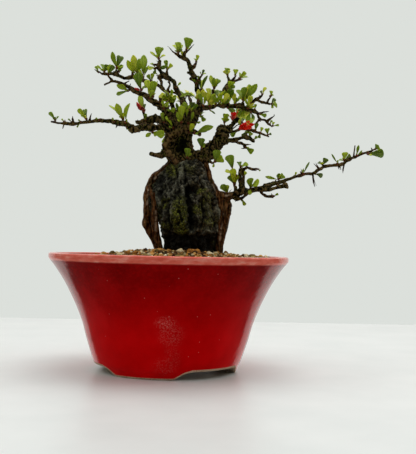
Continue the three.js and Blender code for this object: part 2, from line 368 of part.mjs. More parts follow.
// A cylinder bent along points, with a radius at each: its rings are moved to the points and turned
// square to the way through them. With grow it is thicker and longer by that much.
function limb(points, radii, sides, grow = 0) {
  const last = points.length - 1;
  const path = points.map((p) => p.clone());
  if (grow) {
    path[0].add(points[0].clone().sub(points[1]).setLength(grow));
    path[last].add(points[last].clone().sub(points[last - 1]).setLength(grow));
  }
  const across = vec(0.3, -1, 0.2);
  const frames = path.map((p, i) => {
    const along = path[Math.min(i + 1, last)].clone().sub(path[Math.max(i - 1, 0)]).normalize();
    across.addScaledVector(along, -across.dot(along)).normalize();
    return [across.clone(), along.clone().cross(across)];
  });
  const geometry = new THREE.CylinderGeometry(1, 1, 1, sides, last);
  const place = geometry.attributes.position;
  for (let i = 0; i < place.count; i++) {
    const ring = Math.round((0.5 - place.getY(i)) * last);
    const radius = radii[ring] + grow;
    const moved = path[ring].clone()
      .addScaledVector(frames[ring][0], place.getX(i) * radius)
      .addScaledVector(frames[ring][1], place.getZ(i) * radius);
    place.setXYZ(i, moved.x, moved.y, moved.z);
  }
  return solid(geometry);
}

// A plate whose half outline is [along, across] points, lying from base along one direction
function plate(outline, thickness, base, along, side, face) {
  const points = [...outline, ...outline.map(([a, b]) => [a, -b]).reverse()].reverse();
  const shape = new THREE.Shape(points.map(([a, b]) => new THREE.Vector2(a, b)));
  const geometry = new THREE.ExtrudeGeometry(shape, { depth: thickness, bevelEnabled: false });
  geometry.translate(0, 0, -thickness / 2);
  return geometry.applyMatrix4(new THREE.Matrix4().makeBasis(along, side, face).setPosition(base));
}

// A leaf from its bud to its tip, a narrow stalk and then the blade, turned from the viewer by degrees
function leaf(bud, tip, width, turn) {
  const along = tip.clone().sub(bud);
  const length = along.length();
  along.normalize();
  const face = vec(0, -1, 0);
  if (Math.abs(face.dot(along)) > 0.9) face.set(0, 0, 1);
  face.addScaledVector(along, -face.dot(along)).normalize().applyAxisAngle(along, rad(turn));
  const blade = length * (1 - STALK_SHARE);
  const outline = [[0, STALK_WIDTH / 2], [length * STALK_SHARE, STALK_WIDTH / 2],
    ...BLADE_OUTLINE.map(([a, b]) => [length * STALK_SHARE + a * blade, b * width])];
  return solid(plate(outline, BLADE_THICKNESS, bud, along, face.clone().cross(along), face));
}

// A ball squeezed to half-lengths, its long axis along a direction
function pip(centre, along, radius, halfLength, ball = new THREE.IcosahedronGeometry(1, 1)) {
  const geometry = ball.scale(radius, radius, halfLength);
  const turn = new THREE.Quaternion().setFromUnitVectors(vec(0, 0, 1), along.clone().normalize());
  return solid(geometry.applyQuaternion(turn).translate(centre.x, centre.y, centre.z));
}

function makePot() {
  const section = [
    ...POT_OUTSIDE, ...POT_INSIDE, [DRAIN_RADIUS, FLOOR_TOP], [DRAIN_RADIUS, RECESS_HEIGHT],
    [RECESS_RADIUS, RECESS_HEIGHT], [RECESS_RADIUS + 0.4, 0.8], [FOOT_INNER, 0],
  ];
  let pot = turned(section, POT_SIDES);
  const arch = new THREE.Shape([
    [-ARCH_HALF_WIDTH - 1, -1], [ARCH_HALF_WIDTH + 1, -1], [ARCH_HALF_WIDTH, 0],
    [ARCH_TOP_HALF_WIDTH + 3, ARCH_HEIGHT - 1], [ARCH_TOP_HALF_WIDTH, ARCH_HEIGHT],
    [-ARCH_TOP_HALF_WIDTH, ARCH_HEIGHT], [-ARCH_TOP_HALF_WIDTH - 3, ARCH_HEIGHT - 1],
    [-ARCH_HALF_WIDTH, 0],
  ].map(([x, z]) => new THREE.Vector2(x, z)));
  for (let foot = 0; foot < FEET; foot++) {
    const turn = rad(FRONT_FOOT_TURN + (foot + 0.5) * (360 / FEET));
    const cut = new THREE.ExtrudeGeometry(arch, { depth: ARCH_CUT.depth, bevelEnabled: false });
    cut.rotateX(Math.PI / 2).translate(0, -ARCH_CUT.from, 0).rotateZ(turn);
    pot = pot.subtract(solid(cut));
  }
  return pot;
}

const NET_SIDE = NET_HOLES * NET_PITCH + NET_PITCH - NET_HOLE;

function makeNet() {
  const height = FLOOR_TOP + GAP + NET_THICKNESS / 2;
  const middle = (NET_HOLES - 1) / 2;
  let net = box([NET_SIDE, NET_SIDE, NET_THICKNESS], [0, 0, height]);
  for (let row = 0; row < NET_HOLES; row++) {
    for (let column = 0; column < NET_HOLES; column++) {
      const [x, y] = [(column - middle) * NET_PITCH, (row - middle) * NET_PITCH];
      net = net.subtract(box([NET_HOLE, NET_HOLE, 2 * NET_THICKNESS], [x, y, height]));
    }
  }
  return net;
}

const WIRE_TOP = FLOOR_TOP + NET_THICKNESS + 2 * GAP + WIRE_RADIUS; // the bar's centre line, over the net
const WIRE_BOTTOM = RECESS_HEIGHT - GAP - WIRE_RADIUS; // the bent legs' centre line, under the pot's floor

function makeWire() {
  const side = (s) => [
    vec(s * WIRE_FOOT, 0, WIRE_BOTTOM), vec(s * (NET_PITCH + WIRE_BEND), 0, WIRE_BOTTOM),
    vec(s * NET_PITCH, 0, WIRE_BOTTOM + WIRE_BEND), vec(s * NET_PITCH, 0, WIRE_TOP - WIRE_BEND),
    vec(s * (NET_PITCH - WIRE_BEND), 0, WIRE_TOP),
  ];
  const points = [...side(-1), ...side(1).reverse()];
  return limb(points, points.map(() => WIRE_RADIUS), WIRE_SIDES);
}

function makeRock(grow = 0) {
  const last = ROCK.length - 1;
  const geometry = new THREE.CylinderGeometry(1, 1, 1, ROCK_SIDES, last);
  const place = geometry.attributes.position;
  for (let i = 0; i < place.count; i++) {
    const ring = Math.round((0.5 - place.getY(i)) * last);
    const [height, left, right, front, back] = ROCK[ring];
    const turn = Math.atan2(place.getX(i), place.getZ(i));
    const rough = ROCK_WAVES.reduce(
      (sum, [share, waves, twist]) => sum + share * Math.sin(waves * turn + twist * height), 1);
    const [x, y] = [place.getX(i) * rough, -place.getZ(i) * rough];
    const lift = ring === 0 ? grow : ring === last ? -grow : 0;
    place.setXYZ(
      i,
      (left + right) / 2 + x * ((right - left) / 2 + grow),
      (front + back) / 2 + y * ((back - front) / 2 + grow),
      height + lift,
    );
  }
  return solid(geometry);
}

// The depths of a limb's points, spread evenly along its length between those that state one
function depths(points) {
  const run = [0];
  for (let i = 1; i < points.length; i++) {
    const [[x, z], [px, pz]] = [points[i], points[i - 1]];
    run.push(run[i - 1] + Math.hypot(x - px, z - pz));
  }
  const last = points.length - 1;
  const stated = points.map((point, i) => [run[i], point[3] ?? (i === 0 || i === last ? 0 : null)])
    .filter(([, depth]) => depth !== null);
  return run.map((r) => {
    const next = Math.max(1, stated.findIndex(([at]) => at >= r));
    const [[r0, d0], [r1, d1]] = [stated[next - 1], stated[next]];
    return d0 + ((d1 - d0) * (r - r0)) / (r1 - r0);
  });
}

const LIMBS = {};
for (const [name, [parent, sides, points]] of Object.entries(WOOD)) {
  const from = parent ? onLimb(parent, points[0]).point.y : 0;
  const path = depths(points).map((depth, i) => seen(points[i][0], points[i][1], from + depth));
  LIMBS[name] = { path, sides, radii: points.map(([, , radius]) => radius) };
}

// The point of a limb that shows nearest to x, z, and the limb's radius there
function onLimb(name, [x, z]) {
  const { path, radii } = LIMBS[name];
  const step = 0.05;
  let best = null;
  for (let i = 0; i + 1 < path.length; i++) {
    for (let t = 0; t <= 1; t += step) {
      const point = path[i].clone().lerp(path[i + 1], t);
      const miss = point.distanceTo(seen(x, z, point.y));
      if (!best || miss < best.miss) {
        best = { miss, point, radius: radii[i] + (radii[i + 1] - radii[i]) * t };
      }
    }
  }
  return best;
}

function makeWood(grow = 0) {
  const pieces = Object.values(LIMBS).map(({ path, radii, sides }) => limb(path, radii, sides, grow));
  for (const [name, base, tip] of THORNS) {
    const { point } = onLimb(name, base);
    pieces.push(limb([point, seen(...tip, point.y)], THORN_RADIUS, 4, grow));
  }
  return wasm.Manifold.union(pieces);
}

// A bud on its limb with leaves round it
function makeLeaves([name, at, leaves]) {
  const { point, radius } = onLimb(name, at);
  const tips = leaves.map(([x, z, , depth]) => seen(x, z, point.y + depth));
  const mean = vec(0, 0, 0);
  for (const tip of tips) mean.add(tip.clone().sub(point).normalize());
  const bud = point.clone().addScaledVector(mean.normalize(), radius + GAP + 0.5 * BUD_RADIUS);
  const pieces = tips.map((tip, i) => {
    const turn = BLADE_TURN * Math.sin(2.3 * i + tip.x);
    return leaf(bud, tip, leaves[i][2] / Math.cos(rad(turn)), turn);
  });
  return join([pip(bud, mean, BUD_RADIUS, BUD_RADIUS, new THREE.OctahedronGeometry(1)), ...pieces]);
}

// A seat for a flower or bud on its limb: a matrix whose Z is the flower's axis
function seat(name, at, axis) {
  const { point, radius } = onLimb(name, at);
  const along = vec(...axis).normalize();
  const turn = new THREE.Quaternion().setFromUnitVectors(vec(0, 0, 1), along);
  const foot = point.clone().addScaledVector(along, radius);
  return new THREE.Matrix4().compose(foot, turn, vec(1, 1, 1));
}

function moved(geometry, matrix) {
  return solid(geometry.applyMatrix4(matrix));
}

function turnedAt(section, sides, matrix) {
  const points = section.map(([r, z]) => new THREE.Vector2(r, z));
  return moved(new THREE.LatheGeometry(points, sides).rotateX(Math.PI / 2), matrix);
}

function makePetal(k, matrix) {
  const turn = (k / PETALS) * 2 * Math.PI;
  const out = vec(Math.cos(turn), Math.sin(turn), 0);
  const foot = out.clone().multiplyScalar(PETAL.radius).setZ(CALYX_HEIGHT + 1.5 * GAP);
  const lean = rad(PETAL.lean);
  const along = out.clone().multiplyScalar(Math.sin(lean)).setZ(Math.cos(lean));
  const side = vec(0, 0, 1).cross(out);
  const outline = PETAL_OUTLINE.map(([a, b]) => [a * PETAL.length, b * PETAL.width]);
  return moved(plate(outline, PETAL_THICKNESS, foot, along, side, along.clone().cross(side)), matrix);
}

// The stamens stand on one low disc
function makeStamens(matrix) {
  const { radius, height } = STAMEN_DISC;
  const disc = new THREE.CylinderGeometry(radius, radius, height, 6).rotateX(Math.PI / 2);
  const pieces = [moved(disc.translate(0, 0, CALYX_HEIGHT + GAP + height / 2), matrix)];
  for (let k = 0; k < STAMENS; k++) {
    const turn = (k / STAMENS) * 2 * Math.PI;
    const out = vec(Math.cos(turn), Math.sin(turn), 0);
    const foot = out.clone().multiplyScalar(STAMEN.foot).setZ(CALYX_HEIGHT + 2 * GAP);
    const tip = out.clone().multiplyScalar(STAMEN.foot + STAMEN.spread).setZ(foot.z + STAMEN.length);
    const ends = [foot, tip].map((p) => p.applyMatrix4(matrix));
    const anther = new THREE.OctahedronGeometry(1);
    pieces.push(limb(ends, [STAMEN.radius, STAMEN.radius], 3));
    pieces.push(pip(ends[1], ends[1].clone().sub(ends[0]), STAMEN.anther, STAMEN.anther, anther));
  }
  return join(pieces);
}

function soilHeight(x, y) {
  const r = Math.hypot(x, y);
  const i = SOIL_TOP.findIndex(([radius]) => radius <= r);
  const [[r0, z0], [r1, z1]] = [SOIL_TOP[i - 1], SOIL_TOP[i]];
  return z0 + ((z1 - z0) * (r0 - r)) / (r0 - r1);
}

function makePebble([x, y, lx, ly, lz, turn], grow = 0) {
  const stone = new THREE.IcosahedronGeometry(1, 1).scale(lx + grow, ly + grow, lz + grow);
  const height = soilHeight(x, y) + lz * (1 - PEBBLE_SUNK);
  return solid(stone.rotateZ(rad(turn)).translate(x, y, height));
}

function makeSoil() {
  const walls = POT_INSIDE.slice(2).reverse().map(([r, z]) => [r - SIDE_GAP, z + SIDE_GAP]);
  const points = [[0, FLOOR_TOP + SIDE_GAP], ...walls, ...SOIL_TOP];
  const top = points.map(([r, z]) => new THREE.Vector2(r, z));
  const body = solid(new THREE.LatheGeometry(top, POT_SIDES).rotateX(Math.PI / 2));
  const room = NET_SIDE + 2 * GAP;
  const pocket = box([room, room, 2 * (NET_THICKNESS + 2 * GAP)], [0, 0, FLOOR_TOP]);
  const slotTop = WIRE_TOP + WIRE_RADIUS + GAP;
  const slot = [2 * NET_PITCH + 5 * WIRE_RADIUS, 3 * WIRE_RADIUS, 2 * (slotTop - FLOOR_TOP)];
  const bar = box(slot, [0, 0, FLOOR_TOP]);
  return body.subtract(pocket).subtract(bar);
}

const group = new THREE.Group();

function addPiece(name, piece, finish) {
  const { vertProperties, triVerts, numProp } = piece.getMesh();
  const positions = new Float32Array((vertProperties.length / numProp) * 3);
  for (let i = 0; i < positions.length; i++) {
    positions[i] = vertProperties[Math.floor(i / 3) * numProp + (i % 3)];
  }
  const geometry = new THREE.BufferGeometry();
  geometry.setAttribute('position', new THREE.BufferAttribute(positions, 3));
  geometry.setIndex(new THREE.BufferAttribute(new Uint32Array(triVerts), 1));
  const [color, roughness, metalness] = MATERIALS[finish];
  const mesh = new THREE.Mesh(geometry, new THREE.MeshStandardMaterial({ color, roughness, metalness }));
  mesh.name = name;
  group.add(mesh);
}

const wood = makeWood();
const woodRoom = makeWood(SIDE_GAP);
addPiece('pot', makePot(), 'glaze');
addPiece('drainage_net', makeNet(), 'net');
addPiece('net_wire', makeWire(), 'wire');
addPiece('wood', largest(wood), 'bark');
addPiece('rock', largest(makeRock().subtract(woodRoom)), 'rock');

let soil = makeSoil().subtract(makeRock(SIDE_GAP)).subtract(woodRoom);
for (const [name, pebble] of Object.entries(PEBBLES)) {
  soil = soil.subtract(makePebble(pebble, GAP));
  addPiece(name, makePebble(pebble), name === 'pebble_orange' ? 'orange' : 'cream');
}
addPiece('soil', largest(soil), 'soil');

const bloom = seat(FLOWER.limb, FLOWER.seat, FLOWER.axis);
const calyx = turnedAt(CALYX, 8, bloom).subtract(woodRoom);
addPiece('flower_calyx', largest(calyx), 'calyx');
for (let k = 0; k < PETALS; k++) {
  addPiece(`flower_petal_${k + 1}`, largest(makePetal(k, bloom).subtract(woodRoom)), 'petal');
}
addPiece('flower_stamens', makeStamens(bloom), 'stamen');

const halfOpen = seat(HALF_OPEN.limb, HALF_OPEN.seat, HALF_OPEN.axis);
const cupMatrix = halfOpen.clone().multiply(new THREE.Matrix4().makeTranslation(0, 0, CALYX_HEIGHT + GAP));
addPiece('flower_2_calyx', largest(turnedAt(CALYX, 8, halfOpen).subtract(woodRoom)), 'calyx');
addPiece('flower_2_petals', turnedAt([...CUP_OUTSIDE, ...CUP_INSIDE], 8, cupMatrix), 'petal');

for (const [name, [limbName, at, axis, radius, halfLength]] of Object.entries(BUDS)) {
  const { point, radius: thick } = onLimb(limbName, at);
  const along = vec(...axis).normalize();
  const centre = point.clone().addScaledVector(along, thick + BUD_OUT * halfLength);
  addPiece(name, largest(pip(centre, along, radius, halfLength).subtract(woodRoom)), 'petal');
}

for (const [name, cluster] of Object.entries(LEAVES)) {
  addPiece(`leaves_${name}`, largest(makeLeaves(cluster).subtract(woodRoom)), 'leaf');
}

const bounds = new THREE.Box3().setFromObject(group);
const middle = bounds.getCenter(new THREE.Vector3());
group.position.set(-middle.x, -middle.y, -bounds.min.z);

export default group;
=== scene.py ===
import math
import bpy
import numpy as np
from mathutils import Matrix, Vector, kdtree, noise
from mathutils.bvhtree import BVHTree


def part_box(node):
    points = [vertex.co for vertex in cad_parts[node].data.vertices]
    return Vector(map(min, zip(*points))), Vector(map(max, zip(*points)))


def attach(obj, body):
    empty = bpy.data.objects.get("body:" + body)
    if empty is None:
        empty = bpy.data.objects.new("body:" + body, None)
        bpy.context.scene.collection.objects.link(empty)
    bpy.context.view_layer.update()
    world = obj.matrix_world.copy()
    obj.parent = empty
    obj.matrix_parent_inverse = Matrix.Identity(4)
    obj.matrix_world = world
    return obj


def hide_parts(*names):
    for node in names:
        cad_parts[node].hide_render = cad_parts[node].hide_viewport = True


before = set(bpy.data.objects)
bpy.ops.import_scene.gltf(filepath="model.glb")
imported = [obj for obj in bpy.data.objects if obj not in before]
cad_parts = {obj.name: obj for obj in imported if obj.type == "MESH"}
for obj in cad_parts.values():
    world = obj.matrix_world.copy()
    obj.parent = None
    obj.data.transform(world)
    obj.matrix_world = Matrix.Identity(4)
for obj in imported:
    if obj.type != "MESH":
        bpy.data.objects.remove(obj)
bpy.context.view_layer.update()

# The tree is laid out in millimetres round the pot's axis, with the floor at z = 0 and its best side
# towards -Y.
MM = 0.001
pot_low, pot_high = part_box("pot")
AXIS = np.array([(pot_low.x + pot_high.x) / 2, (pot_low.y + pot_high.y) / 2, 0.0])
# How far in front of the axis the front view's camera stands, and how high
VIEW_DISTANCE = 500.0
VIEW_HEIGHT = 75.5


# Geometry helpers

def seen(x, z, y):
    """The point that shows at x, z in the front view and lies y behind the pot's axis."""
    k = (VIEW_DISTANCE + y) / VIEW_DISTANCE
    return np.array([x * k, y, VIEW_HEIGHT + (z - VIEW_HEIGHT) * k])


def view_of(points):
    """Where points show in the front view, as [x, z]."""
    points = np.atleast_2d(points)
    k = (VIEW_DISTANCE + points[:, 1]) / VIEW_DISTANCE
    return np.stack([points[:, 0] / k, VIEW_HEIGHT + (points[:, 2] - VIEW_HEIGHT) / k], 1)


def unit(v):
    """Vectors brought to length 1."""
    v = np.asarray(v, float)
    return v / np.maximum(np.linalg.norm(v, axis=-1, keepdims=True), 1e-12)


def smooth(x, low, high):
    """0 below low, 1 above high, and an even rise between."""
    t = np.clip((np.asarray(x, float) - low) / (high - low), 0, 1)
    return t * t * (3 - 2 * t)


def added(name, data):
    """A new object in the scene, for a mesh, a light or a camera."""
    obj = bpy.data.objects.new(name, data)
    bpy.context.scene.collection.objects.link(obj)
    return obj


def mesh_from(name, points, faces):
    mesh = bpy.data.meshes.new(name)
    mesh.from_pydata(np.asarray(points, float).tolist(), [], [tuple(int(i) for i in f) for f in faces])
    return mesh


def build(name, points, faces, sharp=None):
    """A smooth mesh object from points in millimetres; edges past an angle in degrees can stay sharp."""
    mesh = mesh_from(name, np.asarray(points, float) * MM + AXIS, faces)
    mesh.update()
    mesh.shade_smooth()
    if sharp is not None:
        mesh.set_sharp_from_angle(angle=math.radians(sharp))
    return added(name, mesh)


def points_of(mesh):
    co = np.zeros(len(mesh.vertices) * 3, np.float32)
    mesh.vertices.foreach_get("co", co)
    return co.reshape(-1, 3).astype(float)


def faces_of(mesh):
    return [tuple(p.vertices) for p in mesh.polygons]


def paint(obj, values):
    """The colour attribute called look, from a row of up to four values for each point."""
    rows = np.ones((len(values), 4), np.float32)
    rows[:, :np.shape(values)[1]] = values
    attribute = obj.data.attributes.new("look", "FLOAT_COLOR", "POINT")
    attribute.data.foreach_set("color", rows.ravel())


def modified(obj, kind, **settings):
    """Applies a modifier to an object's mesh."""
    modifier = obj.modifiers.new("m", kind)
    for key, value in settings.items():
        setattr(modifier, key, value)
    graph = bpy.context.evaluated_depsgraph_get()
    mesh = bpy.data.meshes.new_from_object(obj.evaluated_get(graph))
    obj.modifiers.clear()
    old, obj.data = obj.data, mesh
    bpy.data.meshes.remove(old)


def welded_copy(node):
    """A CAD node's shape in millimetres, as points and faces with its split corners joined."""
    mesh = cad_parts[node].data
    points = (points_of(mesh) - AXIS) / MM
    keys = np.round(points * 1000).astype(np.int64)
    _, first, back = np.unique(keys, axis=0, return_index=True, return_inverse=True)
    back = back.ravel()
    faces = [tuple(back[i] for i in f) for f in faces_of(mesh)]
    faces = [f for f in faces if len(set(f)) == len(f)]
    return points[first], faces


def remeshed(node, voxel):
    """A CAD node's shape as an even fine mesh in millimetres: points and faces."""
    obj = added("work", mesh_from("work", *welded_copy(node)))
    modified(obj, "REMESH", mode="VOXEL", voxel_size=voxel, use_smooth_shade=True)
    points, faces = points_of(obj.data), np.array(faces_of(obj.data))
    bpy.data.objects.remove(obj)
    return points, faces


def edges_of(faces):
    faces = np.asarray(faces)
    pairs = np.concatenate([faces[:, [i, (i + 1) % faces.shape[1]]] for i in range(faces.shape[1])])
    return np.unique(np.sort(pairs, axis=1), axis=0)


def averaged(values, edges, times, share=1.0):
    """Each point's value moved towards the mean of its neighbours' values."""
    values = np.array(values, float)
    count = len(values)
    flat = values.ndim == 1
    if flat:
        values = values[:, None]
    a = np.concatenate([edges[:, 0], edges[:, 1]])
    b = np.concatenate([edges[:, 1], edges[:, 0]])
    degree = np.maximum(np.bincount(a, minlength=count), 1)[:, None]
    for _ in range(times):
        sums = np.stack([np.bincount(a, values[b, i], count) for i in range(values.shape[1])], 1)
        values = values + share * (sums / degree - values)
    return values[:, 0] if flat else values


def rounded(points, faces, times):
    """Smooths without shrinking, by a step in and a step out."""
    edges = edges_of(faces)
    for _ in range(times):
        points = averaged(points, edges, 1, 0.55)
        points = averaged(points, edges, 1, -0.57)
    return points, edges


def normals_of(points, faces):
    faces = np.asarray(faces)
    a, b, c = points[faces[:, 0]], points[faces[:, 1]], points[faces[:, 2]]
    across = np.cross(b - a, c - a)
    if faces.shape[1] == 4:
        across = across + np.cross(c - a, points[faces[:, 3]] - a)
    out = np.zeros_like(points)
    for k in range(faces.shape[1]):
        for i in range(3):
            out[:, i] += np.bincount(faces[:, k], across[:, i], len(points))
    return unit(out)


def lumps(points, size, octaves, shift=0.0, stretch=(1, 1, 1)):
    """Fractal noise at points, about -1 to 1, with lumps of a size in millimetres."""
    rows = (points / (np.array(stretch) * size) + shift).tolist()
    return np.array([noise.fractal(p, 0.9, 2.1, octaves, noise_basis="PERLIN_ORIGINAL") for p in rows])


def cracked(points, size, shift=0.0, stretch=(1, 1, 1)):
    """0 along the borders of cells of a size in millimetres, rising inside them."""
    rows = (points / (np.array(stretch) * size) + shift).tolist()
    return np.array([noise.noise(p, noise_basis="VORONOI_F2F1") for p in rows]) * 0.5 + 0.5


def near_line(view, line):
    """Distance in the front view from each point to a line of [x, z] points."""
    best = np.full(len(view), 1e9)
    for (x0, z0), (x1, z1) in zip(line, line[1:]):
        a, d = np.array([x0, z0]), np.array([x1 - x0, z1 - z0])
        t = np.clip(((view - a) @ d) / (d @ d), 0, 1)
        best = np.minimum(best, np.linalg.norm(view - a - t[:, None] * d, axis=1))
    return best


def fade_from(view, line, wide):
    """1 on a line in the front view, fading to 0 over a width."""
    return np.exp(-(near_line(view, line) / wide) ** 2)


def near_spot(view, x, z, rx, rz):
    """1 in the middle of an oval in the front view, falling to 0 at its edge and beyond."""
    r = np.hypot((view[:, 0] - x) / rx, (view[:, 1] - z) / rz)
    return 1 - smooth(r, 0.35, 1.15)


def spline(rows, steps):
    """Points along a smooth curve through rows, with steps to each span."""
    rows = np.asarray(rows, float)
    ends = np.vstack([2 * rows[0] - rows[1], rows, 2 * rows[-1] - rows[-2]])
    out = []
    for a, b, c, d in zip(ends, ends[1:], ends[2:], ends[3:]):
        for t in np.arange(steps) / steps:
            cubic = (3 * b - a - 3 * c + d) * t ** 3
            out.append(0.5 * (2 * b + (c - a) * t + (2 * a - 5 * b + 4 * c - d) * t ** 2 + cubic))
    return np.array(out + [rows[-1]])


def turned(section, sides):
    """A ring of points round the pot's axis for each [radius, height] of a section, and the points' turns
    from the front towards +X."""
    turn = 2 * math.pi * np.arange(sides) / sides
    section = np.asarray(section, float)
    r, z = section[:, :1], section[:, 1:]
    return np.stack([r * np.sin(turn), -r * np.cos(turn), np.repeat(z, sides, 1)], 2), turn


def ring_faces(rings, sides, closed=False):
    """Faces between rings of points. If closed, the last ring joins the first; if not, each end closes on
    a middle point, and these two points follow the rings."""
    faces = []
    for i in range(rings if closed else rings - 1):
        a, b = i * sides, (i + 1) % rings * sides
        faces += [(a + k, a + (k + 1) % sides, b + (k + 1) % sides, b + k) for k in range(sides)]
    if not closed:
        middle, top = rings * sides, (rings - 1) * sides
        faces += [(middle, (k + 1) % sides, k) for k in range(sides)]
        faces += [(middle + 1, top + k, top + (k + 1) % sides) for k in range(sides)]
    return faces


class Lot:
    """Closed shells gathered into one mesh, with up to four values called look for each point."""

    def __init__(self):
        self.points, self.faces, self.look = [], [], []
        self.count = 0

    def put(self, points, faces, look):
        points = np.asarray(points, float)
        self.points.append(points)
        self.faces += [tuple(i + self.count for i in f) for f in faces]
        look = np.asarray(look, float)
        self.look.append(np.tile(look, (len(points), 1)) if look.ndim == 1 else look)
        self.count += len(points)

    def make(self, name, sharp=None):
        obj = build(name, np.concatenate(self.points), self.faces, sharp)
        paint(obj, np.concatenate(self.look))
        return obj


def tube(path, radii, sides=8, seed=0.0, rough=0.0):
    """A closed tube along points, with pointed ends and, if rough, uneven sides."""
    path, radii = np.asarray(path, float), np.asarray(radii, float)
    n = len(path)
    along = unit(np.gradient(path, axis=0))
    across = np.array([0.31, -0.9, 0.23])
    points = []
    for i in range(n):
        across = unit(across - along[i] * (across @ along[i]))
        other = np.cross(along[i], across)
        for k in range(sides):
            turn = 2 * math.pi * k / sides
            r = radii[i] * (1 + rough * math.sin(3 * turn + 1.7 * i + seed) * math.cos(turn - i + seed))
            points.append(path[i] + r * (math.cos(turn) * across + math.sin(turn) * other))
    points += [path[0] - along[0] * radii[0] * 0.5, path[-1] + along[-1] * radii[-1] * 0.6]
    return np.array(points), ring_faces(n, sides)


def sphere_shell(level):
    """An even ball of triangles: points on the unit sphere and faces."""
    g = (1 + 5 ** 0.5) / 2
    points = [(-1, g, 0), (1, g, 0), (-1, -g, 0), (1, -g, 0), (0, -1, g), (0, 1, g), (0, -1, -g), (0, 1, -g),
              (g, 0, -1), (g, 0, 1), (-g, 0, -1), (-g, 0, 1)]
    faces = [(0, 11, 5), (0, 5, 1), (0, 1, 7), (0, 7, 10), (0, 10, 11), (1, 5, 9), (5, 11, 4), (11, 10, 2),
             (10, 7, 6), (7, 1, 8), (3, 9, 4), (3, 4, 2), (3, 2, 6), (3, 6, 8), (3, 8, 9), (4, 9, 5),
             (2, 4, 11), (6, 2, 10), (8, 6, 7), (9, 8, 1)]
    points = [unit(p) for p in points]
    for _ in range(level):
        middle, finer = {}, []
        for f in faces:
            m = []
            for i in range(3):
                key = tuple(sorted((f[i], f[(i + 1) % 3])))
                if key not in middle:
                    middle[key] = len(points)
                    points.append(unit(points[key[0]] + points[key[1]]))
                m.append(middle[key])
            finer += [(f[0], m[0], m[2]), (f[1], m[1], m[0]), (f[2], m[2], m[1]), (m[0], m[1], m[2])]
        faces = finer
    return np.array(points), faces


BALLS = {level: sphere_shell(level) for level in (1, 2, 3)}


def turned_frame(axis):
    """Three directions as rows, the last along an axis."""
    axis = unit(axis)
    side = unit(np.cross(axis, [0, 0, 1.0] if abs(axis[2]) < 0.9 else [1.0, 0, 0]))
    return np.array([side, np.cross(axis, side), axis])


# Material helpers

def colour(hex_code):
    """A colour from its #rrggbb code, as Blender's linear values."""
    parts = [int(hex_code[i:i + 2], 16) / 255 for i in (1, 3, 5)]
    return [p / 12.92 if p <= 0.04045 else ((p + 0.055) / 1.055) ** 2.4 for p in parts] + [1.0]


class Nodes:
    """The node tree of a material or of the world."""

    def __init__(self, owner):
        owner.use_nodes = True
        self.tree = owner.node_tree
        self.tree.nodes.clear()

    def node(self, kind, *values, **settings):
        """A node with settings, its first inputs fed with values."""
        node = self.tree.nodes.new(kind)
        for key, value in settings.items():
            setattr(node, key, value)
        for socket, value in zip(node.inputs, values):
            self.feed(socket, value)
        return node

    def feed(self, socket, value):
        """Joins an output, or sets a colour code or a number; None leaves the input as it is."""
        if isinstance(value, bpy.types.NodeSocket):
            self.tree.links.new(value, socket)
        elif isinstance(value, str):
            socket.default_value = colour(value)
        elif value is not None:
            socket.default_value = value

    def math(self, operation, *values, clamp=False):
        return self.node("ShaderNodeMath", *values, operation=operation, use_clamp=clamp).outputs[0]

    def span(self, value, low, high, to_low=0.0, to_high=1.0, **settings):
        """A value moved from the range low to high to another range, and held inside it."""
        return self.node("ShaderNodeMapRange", value, low, high, to_low, to_high, **settings).outputs[0]


